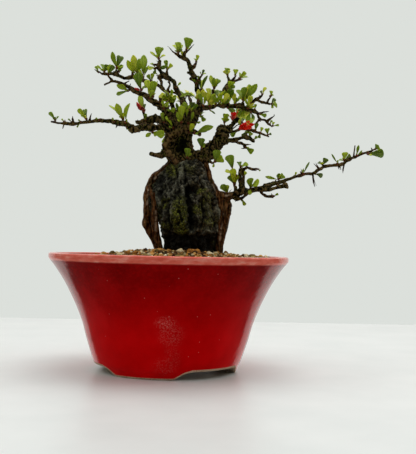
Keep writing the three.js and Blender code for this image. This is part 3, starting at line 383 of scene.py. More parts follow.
class Shader(Nodes):
    """A material, with one method for each kind of step."""

    def __init__(self, name):
        self.material = bpy.data.materials.new(name)
        super().__init__(self.material)
        place = self.node("ShaderNodeTexCoord").outputs["Object"]
        self.place = self.vector("SCALE", place, scale=1 / MM)

    def vector(self, operation, a, b=None, scale=None):
        node = self.node("ShaderNodeVectorMath", a, b, operation=operation)
        if scale is not None:
            node.inputs["Scale"].default_value = scale
        return node.outputs[0]

    def texture(self, kind, size, stretch, **settings):
        """A texture with lumps of a size in millimetres, stretched along each axis."""
        place = self.place if stretch is None else self.vector("DIVIDE", self.place, stretch)
        node = self.node(kind, **settings)
        self.feed(node.inputs["Vector"], place)
        node.inputs["Scale"].default_value = 1 / size
        return node

    def noise(self, size, detail, rough, stretch=None):
        node = self.texture("ShaderNodeTexNoise", size, stretch)
        node.inputs["Detail"].default_value = detail
        node.inputs["Roughness"].default_value = rough
        return node.outputs[0]

    def cells(self, size, feature="F1", output="Distance", stretch=None):
        return self.texture("ShaderNodeTexVoronoi", size, stretch, feature=feature).outputs[output]

    def ramp(self, value, *stops):
        """Stops are (position, colour code) pairs."""
        node = self.node("ShaderNodeValToRGB")
        elements = node.color_ramp.elements
        while len(elements) > 1:
            elements.remove(elements[-1])
        for i, (position, code) in enumerate(stops):
            element = elements[0] if i == 0 else elements.new(position)
            element.position = position
            element.color = colour(code)
        self.feed(node.inputs[0], value)
        return node.outputs[0]

    def mix(self, factor, a, b, blend="MIX"):
        """Two colours mixed, which are the node's inputs 6 and 7, and its output 2."""
        node = self.node("ShaderNodeMix", factor, data_type="RGBA", blend_type=blend)
        self.feed(node.inputs[6], a)
        self.feed(node.inputs[7], b)
        return node.outputs[2]

    def look(self):
        """The four parts of the attribute called look."""
        node = self.node("ShaderNodeAttribute", attribute_name="look")
        parts = self.node("ShaderNodeSeparateColor", node.outputs["Color"])
        return [*parts.outputs, node.outputs["Alpha"]]

    def bump(self, height, distance, strength=1.0, below=None):
        """A normal with bumps of a height in millimetres, on top of the bumps below."""
        node = self.node("ShaderNodeBump")
        node.inputs["Strength"].default_value = strength
        node.inputs["Distance"].default_value = distance * MM
        self.feed(node.inputs["Height"], height)
        self.feed(node.inputs["Normal"], below)
        return node.outputs[0]

    def finish(self, **inputs):
        """Joins values to the surface shader; the keys are its inputs' names with _ for a space."""
        surface = self.node("ShaderNodeBsdfPrincipled")
        for key, value in inputs.items():
            self.feed(surface.inputs[key.replace("_", " ")], value)
        out = self.node("ShaderNodeOutputMaterial")
        self.tree.links.new(surface.outputs[0], out.inputs["Surface"])
        return self.material


def add_piece(obj, material, slot, *nodes):
    """Puts a piece on the part's body with its material, and in the place of CAD nodes, if any. The slot is
    not used.
    """
    obj.data.materials.clear()
    obj.data.materials.append(material)
    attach(obj, "root")
    if nodes:
        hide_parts(*nodes)


# Materials

def bark_material():
    """Dark bark with moss, wet red-brown roots and reddish young shoots; painted shade in hollows, and
    painted highlights on ridges, on the lip by the trunk's hollow and in streaks along the roots.
    """
    s = Shader("bark")
    root, moss, young, shade_and_highlight = s.look()
    grain = s.noise(1.6, 7, 0.62)
    broad = s.noise(6, 3, 0.5)
    streak = s.noise(1.2, 5, 0.6, stretch=(1, 1, 5))
    bark = s.ramp(grain, (0.34, "#050301"), (0.48, "#151005"), (0.58, "#3b3013"), (0.7, "#6e6036"),
                  (0.85, "#8f8452"))
    olive = s.ramp(grain, (0.34, "#050501"), (0.5, "#1b1d06"), (0.62, "#4c501c"), (0.78, "#808242"))
    bark = s.mix(s.span(broad, 0.34, 0.52, 0.0, 0.9), bark, olive)
    shoot = s.ramp(grain, (0.34, "#0c0401"), (0.48, "#2a1307"), (0.6, "#532e14"), (0.78, "#835a36"))
    bark = s.mix(young, bark, shoot)
    wet = s.ramp(streak, (0.34, "#0a0301"), (0.46, "#2a1206"), (0.56, "#573014"), (0.66, "#875a34"),
                 (0.78, "#b38e66"))
    bark = s.mix(root, bark, wet)
    speckle = s.span(s.noise(1.6, 4, 0.6), 0.48, 0.6)
    green = s.ramp(s.noise(0.6, 3, 0.6), (0.34, "#0e1201"), (0.5, "#2f3606"), (0.66, "#666c22"))
    mossy = s.math("MULTIPLY", moss, speckle, clamp=True)
    base = s.mix(mossy, bark, green)
    # Painted shade: hollows go near black. Painted highlight: ridges and the lip by the trunk's hollow go
    # paler.
    base = s.mix(s.span(shade_and_highlight, 0.1, 0.55, 0.92, 0.0), base, "#040201")
    base = s.mix(s.span(shade_and_highlight, 0.6, 1.0, 0.0, 0.4), base, "#8a6f48")
    # Painted highlight: sheen streaks along the roots, where the first value of look is above 1.
    base = s.mix(s.span(root, 1.0, 2.0, 0.0, 0.8), base, "#c4ae94")
    dry = s.span(grain, 0.3, 0.7, 0.6, 0.9)
    glossy = s.span(streak, 0.3, 0.7, 0.25, 0.5)
    rough = s.mix(root, dry, glossy)
    rough = s.mix(mossy, rough, (0.9, 0.9, 0.9, 1))
    relief = s.bump(s.noise(0.9, 6, 0.65), 0.5)
    relief = s.bump(s.cells(0.9, "DISTANCE_TO_EDGE", stretch=(1, 1, 2)), 0.15, 0.5, relief)
    return s.finish(Base_Color=base, Roughness=rough, Normal=relief, Specular_IOR_Level=0.06,
                    Specular_Tint=(1.0, 0.85, 0.55, 1.0))


def rock_material():
    """Wet dark stone with olive moss, painted shade in its cracks and hollows, and painted highlights on its
    ridges and in small glints.
    """
    s = Shader("rock")
    # look: moss, painted shade, painted highlight on ridges, and brown stone
    moss, dark, ridge_highlight, brown = s.look()
    grain = s.noise(1.8, 8, 0.65)
    stone = s.ramp(grain, (0.38, "#020201"), (0.49, "#0f0f09"), (0.56, "#29291d"), (0.64, "#55553f"),
                   (0.74, "#8a8a72"))
    warm = s.ramp(grain, (0.38, "#040200"), (0.49, "#1d1508"), (0.57, "#3f3018"), (0.68, "#77623c"))
    stone = s.mix(brown, stone, warm)
    # Painted highlight: ridges go paler.
    stone = s.mix(ridge_highlight, stone, s.ramp(grain, (0.38, "#26261c"), (0.62, "#9c9c86")))
    tuft = s.noise(0.6, 4, 0.6)
    green = s.ramp(tuft, (0.38, "#121500"), (0.48, "#3d430f"), (0.56, "#6c7124"), (0.66, "#a6a64a"))
    spots = s.span(s.noise(2.2, 4, 0.6), 0.42, 0.58)
    mossy = s.math("MULTIPLY", moss, s.math("ADD", spots, 0.3), clamp=True)
    base = s.mix(mossy, stone, green)
    # Painted highlight: small pale glints of wet shine.
    painted_glint = s.span(s.noise(1.0, 5, 0.7), 0.6, 0.68, 0.0, 0.45)
    base = s.mix(painted_glint, base, "#9a9a86")
    # Painted shade: cracks, hollows and the undercut go near black.
    base = s.mix(dark, base, "#010100")
    rough = s.span(grain, 0.3, 0.75, 0.25, 0.6)
    rough = s.mix(mossy, rough, (0.85, 0.85, 0.85, 1))
    relief = s.bump(s.noise(1.2, 7, 0.7), 0.7)
    relief = s.bump(tuft, 0.2, 0.6, relief)
    return s.finish(Base_Color=base, Roughness=rough, Normal=relief, Specular_IOR_Level=0.14,
                    Specular_Tint=(1.0, 0.96, 0.75, 1.0))


def leaf_material():
    """Leaves and brown scales, with painted shade towards each leaf's foot. look is the place along the leaf,
    the place across it from the rib to the edge, its tint from dark to pale, partly own tone and partly
    painted light and shade, and its kind: 1 for a leaf, 0 for a scale."""
    s = Shader("leaf")
    along, across, tint, kind = s.look()
    fresh = s.ramp(tint, (0.0, "#344a00"), (0.25, "#5e7c00"), (0.5, "#90a800"), (0.75, "#bcc814"),
                   (1.0, "#e0dc50"))
    blotch = s.noise(1.2, 3, 0.5)
    blade = s.mix(s.span(blotch, 0.4, 0.65, 0.0, 0.35), fresh, s.mix(0.6, fresh, "#2c4200"))
    rib = s.span(across, 0.0, 0.14, 0.55, 0.0)
    slope = s.math("SUBTRACT", s.math("MULTIPLY", along, 7.0), s.math("MULTIPLY", across, 2.2))
    wave = s.math("SINE", s.math("MULTIPLY", slope, 2 * math.pi))
    vein = s.span(wave, 0.72, 1.0, 0.0, 0.35)
    pale = s.mix(0.5, fresh, "#cfd47a")
    blade = s.mix(s.math("MAXIMUM", rib, vein), blade, pale)
    edge = s.span(across, 0.82, 1.0, 0.0, 0.35)
    blade = s.mix(edge, blade, "#a3ad3c")
    # Painted shade: darker towards the leaf's foot.
    blade = s.mix(s.span(along, 0.1, 0.8, 0.45, 0.0), blade, s.mix(0.7, fresh, "#1e3000"))
    foot = s.span(along, 0.03, 0.24, 0.85, 0.0)
    blade = s.mix(foot, blade, "#6b3a1c")
    scale = s.ramp(s.noise(0.6, 3, 0.5), (0.35, "#4a1d12"), (0.6, "#7d3d24"), (0.8, "#9a7a4a"))
    base = s.mix(s.math("GREATER_THAN", kind, 0.5), scale, blade)
    relief = s.bump(s.math("ADD", s.math("MULTIPLY", wave, 0.25), s.noise(0.5, 4, 0.6)), 0.07)
    return s.finish(Base_Color=base, Roughness=s.span(blotch, 0.3, 0.7, 0.38, 0.55), Normal=relief,
                    Subsurface_Weight=0.2, Subsurface_Radius=(0.8, 1.0, 0.1), Subsurface_Scale=0.0005,
                    Specular_IOR_Level=0.25)


def petal_material():
    """Scarlet petals with darker veins and an orange foot."""
    s = Shader("petal")
    along, across, tint, _ = s.look()
    fresh = s.ramp(tint, (0.0, "#cc0000"), (0.5, "#f00600"), (1.0, "#ff2404"))
    blotch = s.noise(1.0, 4, 0.55)
    base = s.mix(s.span(blotch, 0.45, 0.75, 0.0, 0.4), fresh, "#f8481a")
    wave = s.math("SINE", s.math("MULTIPLY", s.math("ADD", across, s.math("MULTIPLY", along, 0.15)), 32.0))
    base = s.mix(s.span(wave, 0.6, 1.0, 0.0, 0.4), base, "#960200")
    base = s.mix(s.span(along, 0.0, 0.3, 0.3, 0.0), base, "#f04a20")
    relief = s.bump(s.math("ADD", s.math("MULTIPLY", wave, 0.2), blotch), 0.1)
    return s.finish(Base_Color=base, Roughness=s.span(blotch, 0.3, 0.7, 0.35, 0.55), Normal=relief,
                    Subsurface_Weight=0.08, Subsurface_Radius=(1.0, 0.05, 0.02), Subsurface_Scale=0.0006,
                    Specular_IOR_Level=0.12)


def sheath_material():
    """Calyx and bud scales, from brown at the foot to red at the tips; a low tint keeps them brown."""
    s = Shader("sheath")
    along, across, tint, _ = s.look()
    speckle = s.noise(0.5, 4, 0.6)
    red = s.math("MULTIPLY", along, s.math("MULTIPLY", tint, 2.0))
    base = s.ramp(s.math("ADD", red, s.math("MULTIPLY", speckle, 0.4)),
                  (0.2, "#6a3214"), (0.5, "#961c0c"), (0.9, "#d41408"))
    base = s.mix(s.span(across, 0.75, 1.0, 0.0, 0.4), base, "#96683c")
    relief = s.bump(speckle, 0.08)
    return s.finish(Base_Color=base, Roughness=s.span(speckle, 0.3, 0.7, 0.4, 0.6), Normal=relief,
                    Subsurface_Weight=0.15, Subsurface_Radius=(1.0, 0.5, 0.2), Subsurface_Scale=0.0005)


def stamen_material():
    """Pale filaments with grainy golden anthers."""
    s = Shader("stamen")
    along, _, _, kind = s.look()
    grain = s.noise(0.12, 3, 0.6)
    thread = s.mix(along, "#d9795a", "#ead9a0")
    anther = s.ramp(grain, (0.35, "#b07a18"), (0.6, "#e8b93a"), (0.8, "#f3dc7a"))
    base = s.mix(s.math("GREATER_THAN", kind, 0.5), anther, thread)
    return s.finish(Base_Color=base, Roughness=s.span(grain, 0.3, 0.7, 0.5, 0.75), Normal=s.bump(grain, 0.05))


def grain_material(name, tones, dust, rough, pits):
    """Loose grains with painted shade in their pits. look is each grain's own tone and how wet it is."""
    s = Shader(name)
    tint, wet, _, _ = s.look()
    fine = s.noise(0.35, 5, 0.65)
    tone = s.math("ADD", s.math("MULTIPLY", tint, 0.75), s.math("MULTIPLY", fine, 0.35))
    base = s.ramp(tone, *zip((0.15, 0.45, 0.7, 0.95), tones))
    base = s.mix(s.span(s.noise(0.9, 4, 0.6), 0.5, 0.7, 0.0, 0.6), base, dust)
    base = s.mix(s.span(wet, 0.0, 1.0, 0.0, 0.5), base, s.mix(0.65, base, "#0b0704"))
    hollow = s.cells(0.5)
    # Painted shade: the pits go dark.
    base = s.mix(s.span(hollow, 0.0, 0.25, pits, 0.0), base, "#1a0f08")
    relief = s.bump(s.noise(0.3, 6, 0.7), 0.16)
    relief = s.bump(s.span(hollow, 0.0, 0.3), 0.1, pits, relief)
    return s.finish(Base_Color=base, Roughness=s.span(fine, 0.3, 0.7, rough - 0.12, rough), Normal=relief,
                    Specular_IOR_Level=0.15)


def soil_material():
    """Fine dark crumbs between the grains."""
    s = Shader("soil")
    crumb = s.cells(1.1, output="Color")
    fine = s.noise(0.5, 5, 0.65)
    base = s.ramp(fine, (0.3, "#140c07"), (0.5, "#2f1e12"), (0.7, "#5c3a20"))
    base = s.mix(0.35, base, s.mix(0.75, crumb, "#4a2c16"), "OVERLAY")
    relief = s.bump(s.cells(1.1), 0.5)
    relief = s.bump(fine, 0.2, 0.7, relief)
    return s.finish(Base_Color=base, Roughness=s.span(fine, 0.3, 0.7, 0.75, 0.95), Normal=relief,
                    Specular_IOR_Level=0.15)


def glaze_material():
    """Deep red glaze, darker upwards as painted shade, paler over the lip where it runs thinner and as a
    painted highlight, with a painted window reflection on its front, and bare clay under the foot.
    """
    s = Shader("glaze")
    bare, lip, rise, painted_reflection = s.look()
    cloud = s.noise(16, 4, 0.5)
    mottle = s.noise(1.8, 5, 0.6)
    body = s.ramp(cloud, (0.35, "#cc0002"), (0.5, "#d80004"), (0.68, "#e40208"))
    # Painted shade: the glaze goes darker upwards.
    body = s.mix(rise, body, s.ramp(cloud, (0.35, "#6c0000"), (0.5, "#760000"), (0.68, "#800101")))
    body = s.mix(s.span(mottle, 0.45, 0.7, 0.0, 0.15), body, "#d80408")
    # Painted reflection: pale grainy patches of a window on the pot's front.
    reflection_patch = s.math("MULTIPLY", painted_reflection, s.span(s.noise(0.8, 5, 0.65), 0.46, 0.62), clamp=True)
    body = s.mix(s.math("MULTIPLY", reflection_patch, 0.7), body, "#cc6a64")
    # The lip is paler, from thinner glaze and as a painted highlight of the light above it.
    streak = s.noise(3.2, 5, 0.6, stretch=(2.2, 2.2, 0.6))
    lip_glaze_and_highlight = s.ramp(streak, (0.3, "#cb5443"), (0.5, "#dc6a59"), (0.62, "#e38372"), (0.8, "#efae9e"))
    body = s.mix(lip, body, lip_glaze_and_highlight)
    fleck = s.cells(7.0)
    body = s.mix(s.span(fleck, 0.03, 0.06, 0.5, 0.0), body, "#c47a74")
    grit = s.noise(0.5, 5, 0.7)
    clay = s.ramp(grit, (0.3, "#a58a6a"), (0.5, "#cdb798"), (0.7, "#e4d5bc"))
    clay = s.mix(s.span(s.noise(6, 4, 0.6), 0.5, 0.7, 0.0, 0.5), clay, "#8a6a50")
    base = s.mix(bare, body, clay)
    sheen = s.math("ADD", s.span(mottle, 0.3, 0.7, 0.09, 0.15), s.span(cloud, 0.35, 0.65, 0.0, 0.05))
    rough = s.mix(bare, sheen, s.span(grit, 0.3, 0.7, 0.75, 0.95))
    relief = s.bump(s.noise(5.0, 3, 0.5), 0.12)
    relief = s.bump(mottle, 0.03, 1.0, relief)
    relief = s.bump(s.math("MULTIPLY", grit, bare), 0.25, 1.0, relief)
    return s.finish(Base_Color=base, Roughness=rough, Normal=relief, Specular_IOR_Level=0.4,
                    Specular_Tint=(1.0, 0.06, 0.05, 1.0))


def net_material():
    """Black moulded plastic net, with soil dust."""
    s = Shader("net")
    fine = s.noise(0.4, 5, 0.6)
    dust = s.noise(3.0, 4, 0.6)
    base = s.ramp(fine, (0.3, "#0b0b0b"), (0.7, "#262626"))
    base = s.mix(s.span(dust, 0.45, 0.7, 0.0, 0.6), base, "#4a3422")
    return s.finish(Base_Color=base, Roughness=s.span(fine, 0.3, 0.7, 0.4, 0.65), Normal=s.bump(fine, 0.05))


def wire_material():
    """Brown anodised aluminium wire, scratched and dulled."""
    s = Shader("wire")
    fine = s.noise(0.3, 5, 0.6, stretch=(6, 1, 1))
    base = s.ramp(fine, (0.3, "#4a3420"), (0.55, "#7a5c3c"), (0.75, "#a88a64"))
    return s.finish(Base_Color=base, Metallic=0.9, Roughness=s.span(fine, 0.3, 0.7, 0.3, 0.5),
                    Normal=s.bump(fine, 0.03))


BARK, ROCK, LEAF, PETAL = bark_material(), rock_material(), leaf_material(), petal_material()
SHEATH, STAMEN, SOIL, GLAZE = sheath_material(), stamen_material(), soil_material(), glaze_material()
GRAINS = {
    "orange": grain_material("akadama", ["#54300e", "#945c20", "#b97e36", "#d9a860"], "#d2a060", 0.95, 0.3),
    "cream": grain_material("pumice", ["#a48e62", "#ccb686", "#e0d0a6", "#f3e9cc"], "#efe2c0", 0.95, 0.8),
    "dark": grain_material("lava", ["#181008", "#3a260f", "#593c1c", "#7a5a32"], "#6a4c2a", 0.9, 0.6),
    "olive": grain_material("grit", ["#44361a", "#746034", "#98814c", "#bda66c"], "#a08c54", 0.9, 0.4),
}
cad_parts["drainage_net"].data.materials.clear()
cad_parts["drainage_net"].data.materials.append(net_material())


# Wood

WOOD_VOXEL = 0.29
WOOD_TRIANGLES = 190000
# How deep the wood's thickness is looked for
THICKEST = 16
# The roots turn into trunk between two heights, and at the right into the long branch between two places.
ROOT_TOP, ROOT_RIGHT = (122, 131), (34.5, 40)
# Two places of painted shade, the trunk's hollow, also dented in, and by the cut stub: x and z in the front
# view, half width, half height
TRUNK_HOLLOW_SHADE, STUB_SHADE = (6.4, 136.5, 4.4, 6.5), (39.8, 153.4, 2, 2.4)
# The swollen lip of bark round the trunk's hollow, painted paler as a painted highlight: how wide and high it
# is, and its line in the front view
LIP_WIDTH, LIP_RISE = 1.5, 1.1
FRONT_ARC = [(3.5, 125.5), (-0.5, 130.5), (-4.3, 136.5), (-1, 143), (5.5, 146.5), (9, 148)]
# Round knobs on the branches, or dents where the last number is negative: x and z in the front view, radius,
# height
KNOBS = [
    (-5, 179.2, 2.6, 0.7), (-8.4, 178, 1.6, 0.7), (-9.6, 185.2, 2.2, 0.6), (7.5, 190, 2.2, 0.4),
    (32.4, 170.8, 2.4, 0.5), (30, 145, 4.2, 1.1), (33, 143, 2.2, 0.6), (-12.5, 152, 3.2, 0.7),
    (-22.8, 146.4, 2.6, 0.8), (-17, 150.8, 2.4, 0.6), (-5.6, 158.6, 2.6, 0.6), (-7.2, 151.8, 3, 0.5),
    (-14, 164.6, 2.2, 0.6), (-25, 169.8, 1.8, 0.5), (-35, 178.8, 1.8, 0.6), (-27, 177.2, 1.8, 0.5),
    (41, 161.8, 2, 0.5), (30.6, 161.4, 1.8, 0.5), (57, 112, 2, 0.6), (46, 142.8, 1.8, 0.5),
    (36.4, 147.6, 3, -0.9), (38, 150.6, 2.6, -0.9), (35.4, 153.6, 2.4, -0.8), (41.6, 154, 2.2, -0.7),
    (-7.4, 129.4, 2.2, 0.9), (-12, 130.8, 1.8, 0.7), (-3.5, 131, 3, 0.6), (104.6, 127.6, 1.6, 0.5),
    (91, 124.8, 1.5, 0.4), (13.8, 157.2, 2.4, 0.5), (12.4, 179, 2, 0.5), (-60.4, 148.2, 1.5, 0.35),
    (33.6, 174.6, 2.4, 0.6), (31.6, 171.6, 2.0, 0.5), (-44, 150.3, 1.6, 0.35), (70, 114.6, 1.5, 0.4),
    (44.4, 110.2, 2.4, 0.6), (50, 159.2, 1.8, 0.4),
]
# The same for the roots
ROOT_KNOBS = [
    (-16.6, 88.2, 2.6, 1.3), (28.6, 99.5, 3.4, 1.0), (28.4, 92, 2.6, 0.6), (-15.5, 104, 3, 0.4),
    (33, 101, 3, 0.5),
]
# Painted highlights: the lines where the roots' wet bark is painted paler as a sheen, and how wide the shine
# is
SHINE_WIDTH = 0.45
SHINE_LINES = [
    [(-13.4, 109), (-14.2, 100)], [(-9, 96), (-8.6, 84)], [(32.2, 104), (32.6, 95)],
    [(31.6, 89), (30.4, 79)], [(24, 115), (27.5, 108)], [(-6, 119.5), (-10, 116)],
    [(33.5, 106.5), (39, 107.5)],
]

wood_points, wood_faces = remeshed("wood", WOOD_VOXEL)
wood_points, wood_edges = rounded(wood_points, wood_faces, 4)
wood_normals = normals_of(wood_points, wood_faces)
wood_tree = BVHTree.FromPolygons(wood_points.tolist(), wood_faces.tolist())


def thickness_of(points, normals, tree, most):
    """How thick the solid is below each point, up to a most, by a ray that starts just inside it."""
    out = np.full(len(points), float(most))
    for i, (p, n) in enumerate(zip(points, normals)):
        hit = tree.ray_cast(Vector(p - n * 0.02), Vector(-n), most)
        if hit[0] is not None:
            out[i] = hit[3]
    return out


thick = thickness_of(wood_points, wood_normals, wood_tree, THICKEST)
thick = averaged(thick, wood_edges, 14)
wood_view = view_of(wood_points)
wood_height = wood_points[:, 2]
is_root = (1 - smooth(wood_height, *ROOT_TOP)) * (1 - smooth(wood_view[:, 0], *ROOT_RIGHT))
# heavy is the trunk and the thick limbs, middling all but the twigs
heavy, middling = smooth(thick, 4.5, 9), smooth(thick, 1.4, 4)
facing_up = wood_normals[:, 2]
big = lumps(wood_points, 5.5, 3)
mid = lumps(wood_points, 2.4, 3, 7.3)
small = lumps(wood_points, 1.0, 2, 3.1)
split = cracked(wood_points, 3.4, 1.0, (1, 1, 1.7))
groove = lumps(wood_points, 1.5, 3, 5.5, stretch=(1, 1, 5))
knobs = lumps(wood_points, 3.0, 1, 11.7)
grown = 1 - is_root

# How far the bark stands out of the CAD's wood: lumps and fissures on the trunk, knobs, and grooved roots
rise = 0.03 * thick.clip(0, 3.2)
rise += 0.14 * grown * (1 - smooth(thick, 1.6, 4.0))
rise += grown * big * (0.9 * heavy + 0.35 * middling * (1 - heavy))
rise += grown * (mid * (0.15 + 0.6 * middling) + small * (0.1 + 0.14 * middling))
rise -= grown * heavy * 0.6 * (1 - smooth(split, 0.0, 0.3))
rise += grown * (1 - heavy) * (0.2 + 0.3 * middling) * smooth(knobs, 0.08, 0.4)
rise += is_root * (groove * 0.24 + big * 0.2 + mid * 0.16 + small * 0.05)
for spots, where in ((KNOBS, grown), (ROOT_KNOBS, is_root)):
    for x, z, radius, much in spots:
        off = (wood_view[:, 0] - x) ** 2 + (wood_view[:, 1] - z) ** 2
        rise += much * np.exp(-(off / radius ** 2)) * where
arc = fade_from(wood_view, FRONT_ARC, LIP_WIDTH) * smooth(-wood_points[:, 1], 2.5, 5)
# Painted shade in the trunk's hollow, which is also dented in, and by the cut stub
shade = near_spot(wood_view, *TRUNK_HOLLOW_SHADE) * smooth(-wood_normals[:, 1], 0, 0.5) * (1 - arc)
rise += LIP_RISE * arc - shade
shade = np.maximum(shade, near_spot(wood_view, *STUB_SHADE))
rise = averaged(rise, wood_edges, 1, 0.6)
# Painted shade where the bark lies below its neighbours and painted highlight where it stands above them;
# deepest shade in the two shaded places
shade_and_highlight = smooth(rise - averaged(rise, wood_edges, 8), -0.16, 0.1) * (1 - 0.9 * shade)
shade_and_highlight = np.maximum(shade_and_highlight, 0.65 * arc)
# The twigs also wander sideways a little, so that they aren't straight
wander = np.stack([lumps(wood_points, 7.0, 2, shift) for shift in (21.0, 31.0, 41.0)], 1)
sway = (0.9 * grown * (1 - 0.7 * heavy) + 0.2 * is_root)[:, None]
wood_moved = wood_points + wood_normals * rise[:, None] + wander * sway

# What the bark's material reads: wet roots with painted highlight streaks, moss, young shoots, and painted
# shade in hollows with painted highlight on ridges
trunk_moss = smooth(thick, 3.5, 8) * (0.35 + 0.65 * smooth(facing_up, -0.4, 0.5)) * grown
# The lip round the trunk's hollow also gets the paler shoot colour, as a painted highlight.
young = np.maximum(0.55 * (1 - smooth(thick, 1.0, 2.0)) * grown, 0.5 * arc)
# Painted highlight: the roots' first value rises above 1 along the sheen lines on their front, which the bark
# paints paler.
shine = np.zeros(len(wood_points))
for line in SHINE_LINES:
    shine = np.maximum(shine, fade_from(wood_view + 0.5 * big[:, None], line, SHINE_WIDTH))
wet = is_root * (1 + shine * smooth(-wood_normals[:, 1], 0.2, 0.6) * smooth(mid, -0.3, 0.1))
moss_patch = smooth(lumps(wood_points, 4.0, 2, 2.2), -0.3, 0.2)
moss = trunk_moss * 1.5 + 0.35 * grown * (1 - heavy) * smooth(facing_up, 0.1, 0.9)
moss = np.clip(moss, 0, 1) * moss_patch
moss = np.clip(moss + 0.5 * is_root * smooth(lumps(wood_points, 3.0, 2, 9.2), 0.25, 0.5), 0, 1)
wood_look = np.stack([wet, moss, young, shade_and_highlight], 1)

wood = build("wood_bark", wood_moved, wood_faces)
kept_share = min(1.0, WOOD_TRIANGLES / (2 * len(wood_faces)))
modified(wood, "DECIMATE", ratio=kept_share, use_collapse_triangulate=True)
finder = kdtree.KDTree(len(wood_moved))
for i, p in enumerate(wood_moved):
    finder.insert(p, i)
finder.balance()
kept = (points_of(wood.data) - AXIS) / MM
paint(wood, wood_look[[finder.find(p)[1] for p in kept]])
wood.data.shade_smooth()
add_piece(wood, BARK, "bark", "wood")
bark_tree = BVHTree.FromPolygons(wood_moved.tolist(), wood_faces.tolist())


def on_bark(x, z, side=-1):
    """The bark's surface point that shows nearest to x, z, with its normal. Of two points that show at
    one place, side -1 prefers the front one and side 1 the back one."""
    miss = np.hypot(wood_view[:, 0] - x, wood_view[:, 1] - z)
    i = int(np.argmin(miss - 0.01 * side * wood_points[:, 1]))
    return wood_moved[i], wood_normals[i]


# Rock

ROCK_VOXEL = 0.36
rock_points, rock_faces = remeshed("rock", ROCK_VOXEL)
rock_points, rock_edges = rounded(rock_points, rock_faces, 10)
rock_normals = normals_of(rock_points, rock_faces)
rock_view = view_of(rock_points)
front = smooth(-rock_normals[:, 1], -0.15, 0.35)

# Ridges and cracks: a line in the front view, how high or deep, how wide. Ridges also get painted highlight,
# and cracks painted shade.
RIDGES = [
    ([(-3, 118), (-2, 110), (-2, 104)], 0.6, 0.7), ([(7, 127), (6.4, 122), (6, 118)], 1.0, 1.9),
    ([(6, 118), (3, 112), (-1, 105)], 0.8, 1.2), ([(6, 118), (7, 110), (8, 107)], 0.7, 1.1),
    ([(19, 118), (21, 110)], 0.9, 1.2), ([(20, 108), (24, 103)], 0.7, 1.0),
    ([(28.4, 101), (29, 93), (28.6, 85)], 0.8, 0.8), ([(15.5, 110), (20, 109)], 0.6, 0.8),
    ([(0.5, 101), (1.2, 92), (3.5, 84)], 0.7, 0.8), ([(-8.5, 104), (-5, 99), (-4, 92)], 0.6, 1.2),
    ([(22, 100), (24, 92), (22, 85)], 0.6, 1.3), ([(17, 106), (16, 98), (18, 90)], 0.5, 1.0),
]
CRACKS = [
    ([(3.4, 122), (4, 115)], 0.9, 0.6), ([(10.4, 111), (11, 104), (12, 95), (13, 86)], 1.9, 1.5),
    ([(-1, 101), (-0.6, 92), (1.5, 83)], 0.8, 0.7), ([(19.5, 105), (20.5, 97), (19.5, 88)], 0.9, 0.7),
    ([(8, 125), (8.6, 117), (8.5, 113)], 0.7, 0.6), ([(-6, 108), (-4.5, 102), (-5.5, 95)], 0.7, 0.7),
    ([(25.5, 104), (26.8, 96), (26, 86)], 0.8, 0.7), ([(4.6, 99), (6.2, 92), (4.8, 88)], 0.6, 0.5),
]
# Bulges, and hollows where the last number is negative, the deeper hollows with painted shade: x and z in the
# front view, half width, half height, rise
BULGES = [
    (13.6, 118.3, 7, 8, 1.7), (6.2, 94, 6, 13, 1.5), (7.5, 85, 4.8, 3.6, 0.7), (22.5, 96, 6, 13, 0.7),
    (0, 121, 5, 6, 0.5), (12.6, 110, 5.5, 2.8, -1.9), (-6.5, 114.5, 4, 3.6, -0.9), (2, 77, 5, 3, 0.6),
    (14, 90, 3, 7, -0.9), (20.5, 76, 3, 3, 0.5),
]
# Where moss grows: x and z in the front view, half width, half height, how much
MOSS_SPOTS = [
    (1, 122, 5, 6, 0.7), (6, 94, 6, 13, 1.0), (-4.5, 101, 2.2, 4.5, 0.9), (-2, 102.5, 2, 2, 0.8),
    (0, 87, 3, 3, 0.9), (-4, 88, 2.4, 3, 0.8), (3.5, 87, 3, 4, 0.9), (7, 84, 5, 4, 1.0),
    (17, 97, 3, 4, 0.8), (15, 98, 2, 3, 0.8), (25, 91, 4, 5, 0.7), (18, 109.3, 4, 2, 0.9),
    (22, 105, 4, 4, 0.6), (29, 76.5, 1.6, 4, 1.0), (22, 96, 6, 12, 0.35), (10, 122, 6, 5, 0.3),
    (-8, 92, 3, 8, 0.4),
]
# Brown stone: the places between which it starts towards the right, and a spot's x, z, half width and half
# height
BROWN_SIDE, BROWN_SPOT = (13, 18), (13.6, 118.3, 8, 8)
# How much the heights and depths of ridges and cracks are raised
LINE_RELIEF = 1.3
# The hollow under the rock's front, with painted shade: the heights and places between which it starts and
# ends, and its depth
UNDERCUT_TOP, UNDERCUT_LEFT, UNDERCUT_RIGHT, UNDERCUT_DEPTH = (80.5, 84.5), (-3, -1), (26, 29), 1.4
# How near the rock may come to the wood, and how much it may rise at all
ROOM_LEFT, MOST_RELIEF = 0.25, 3.0

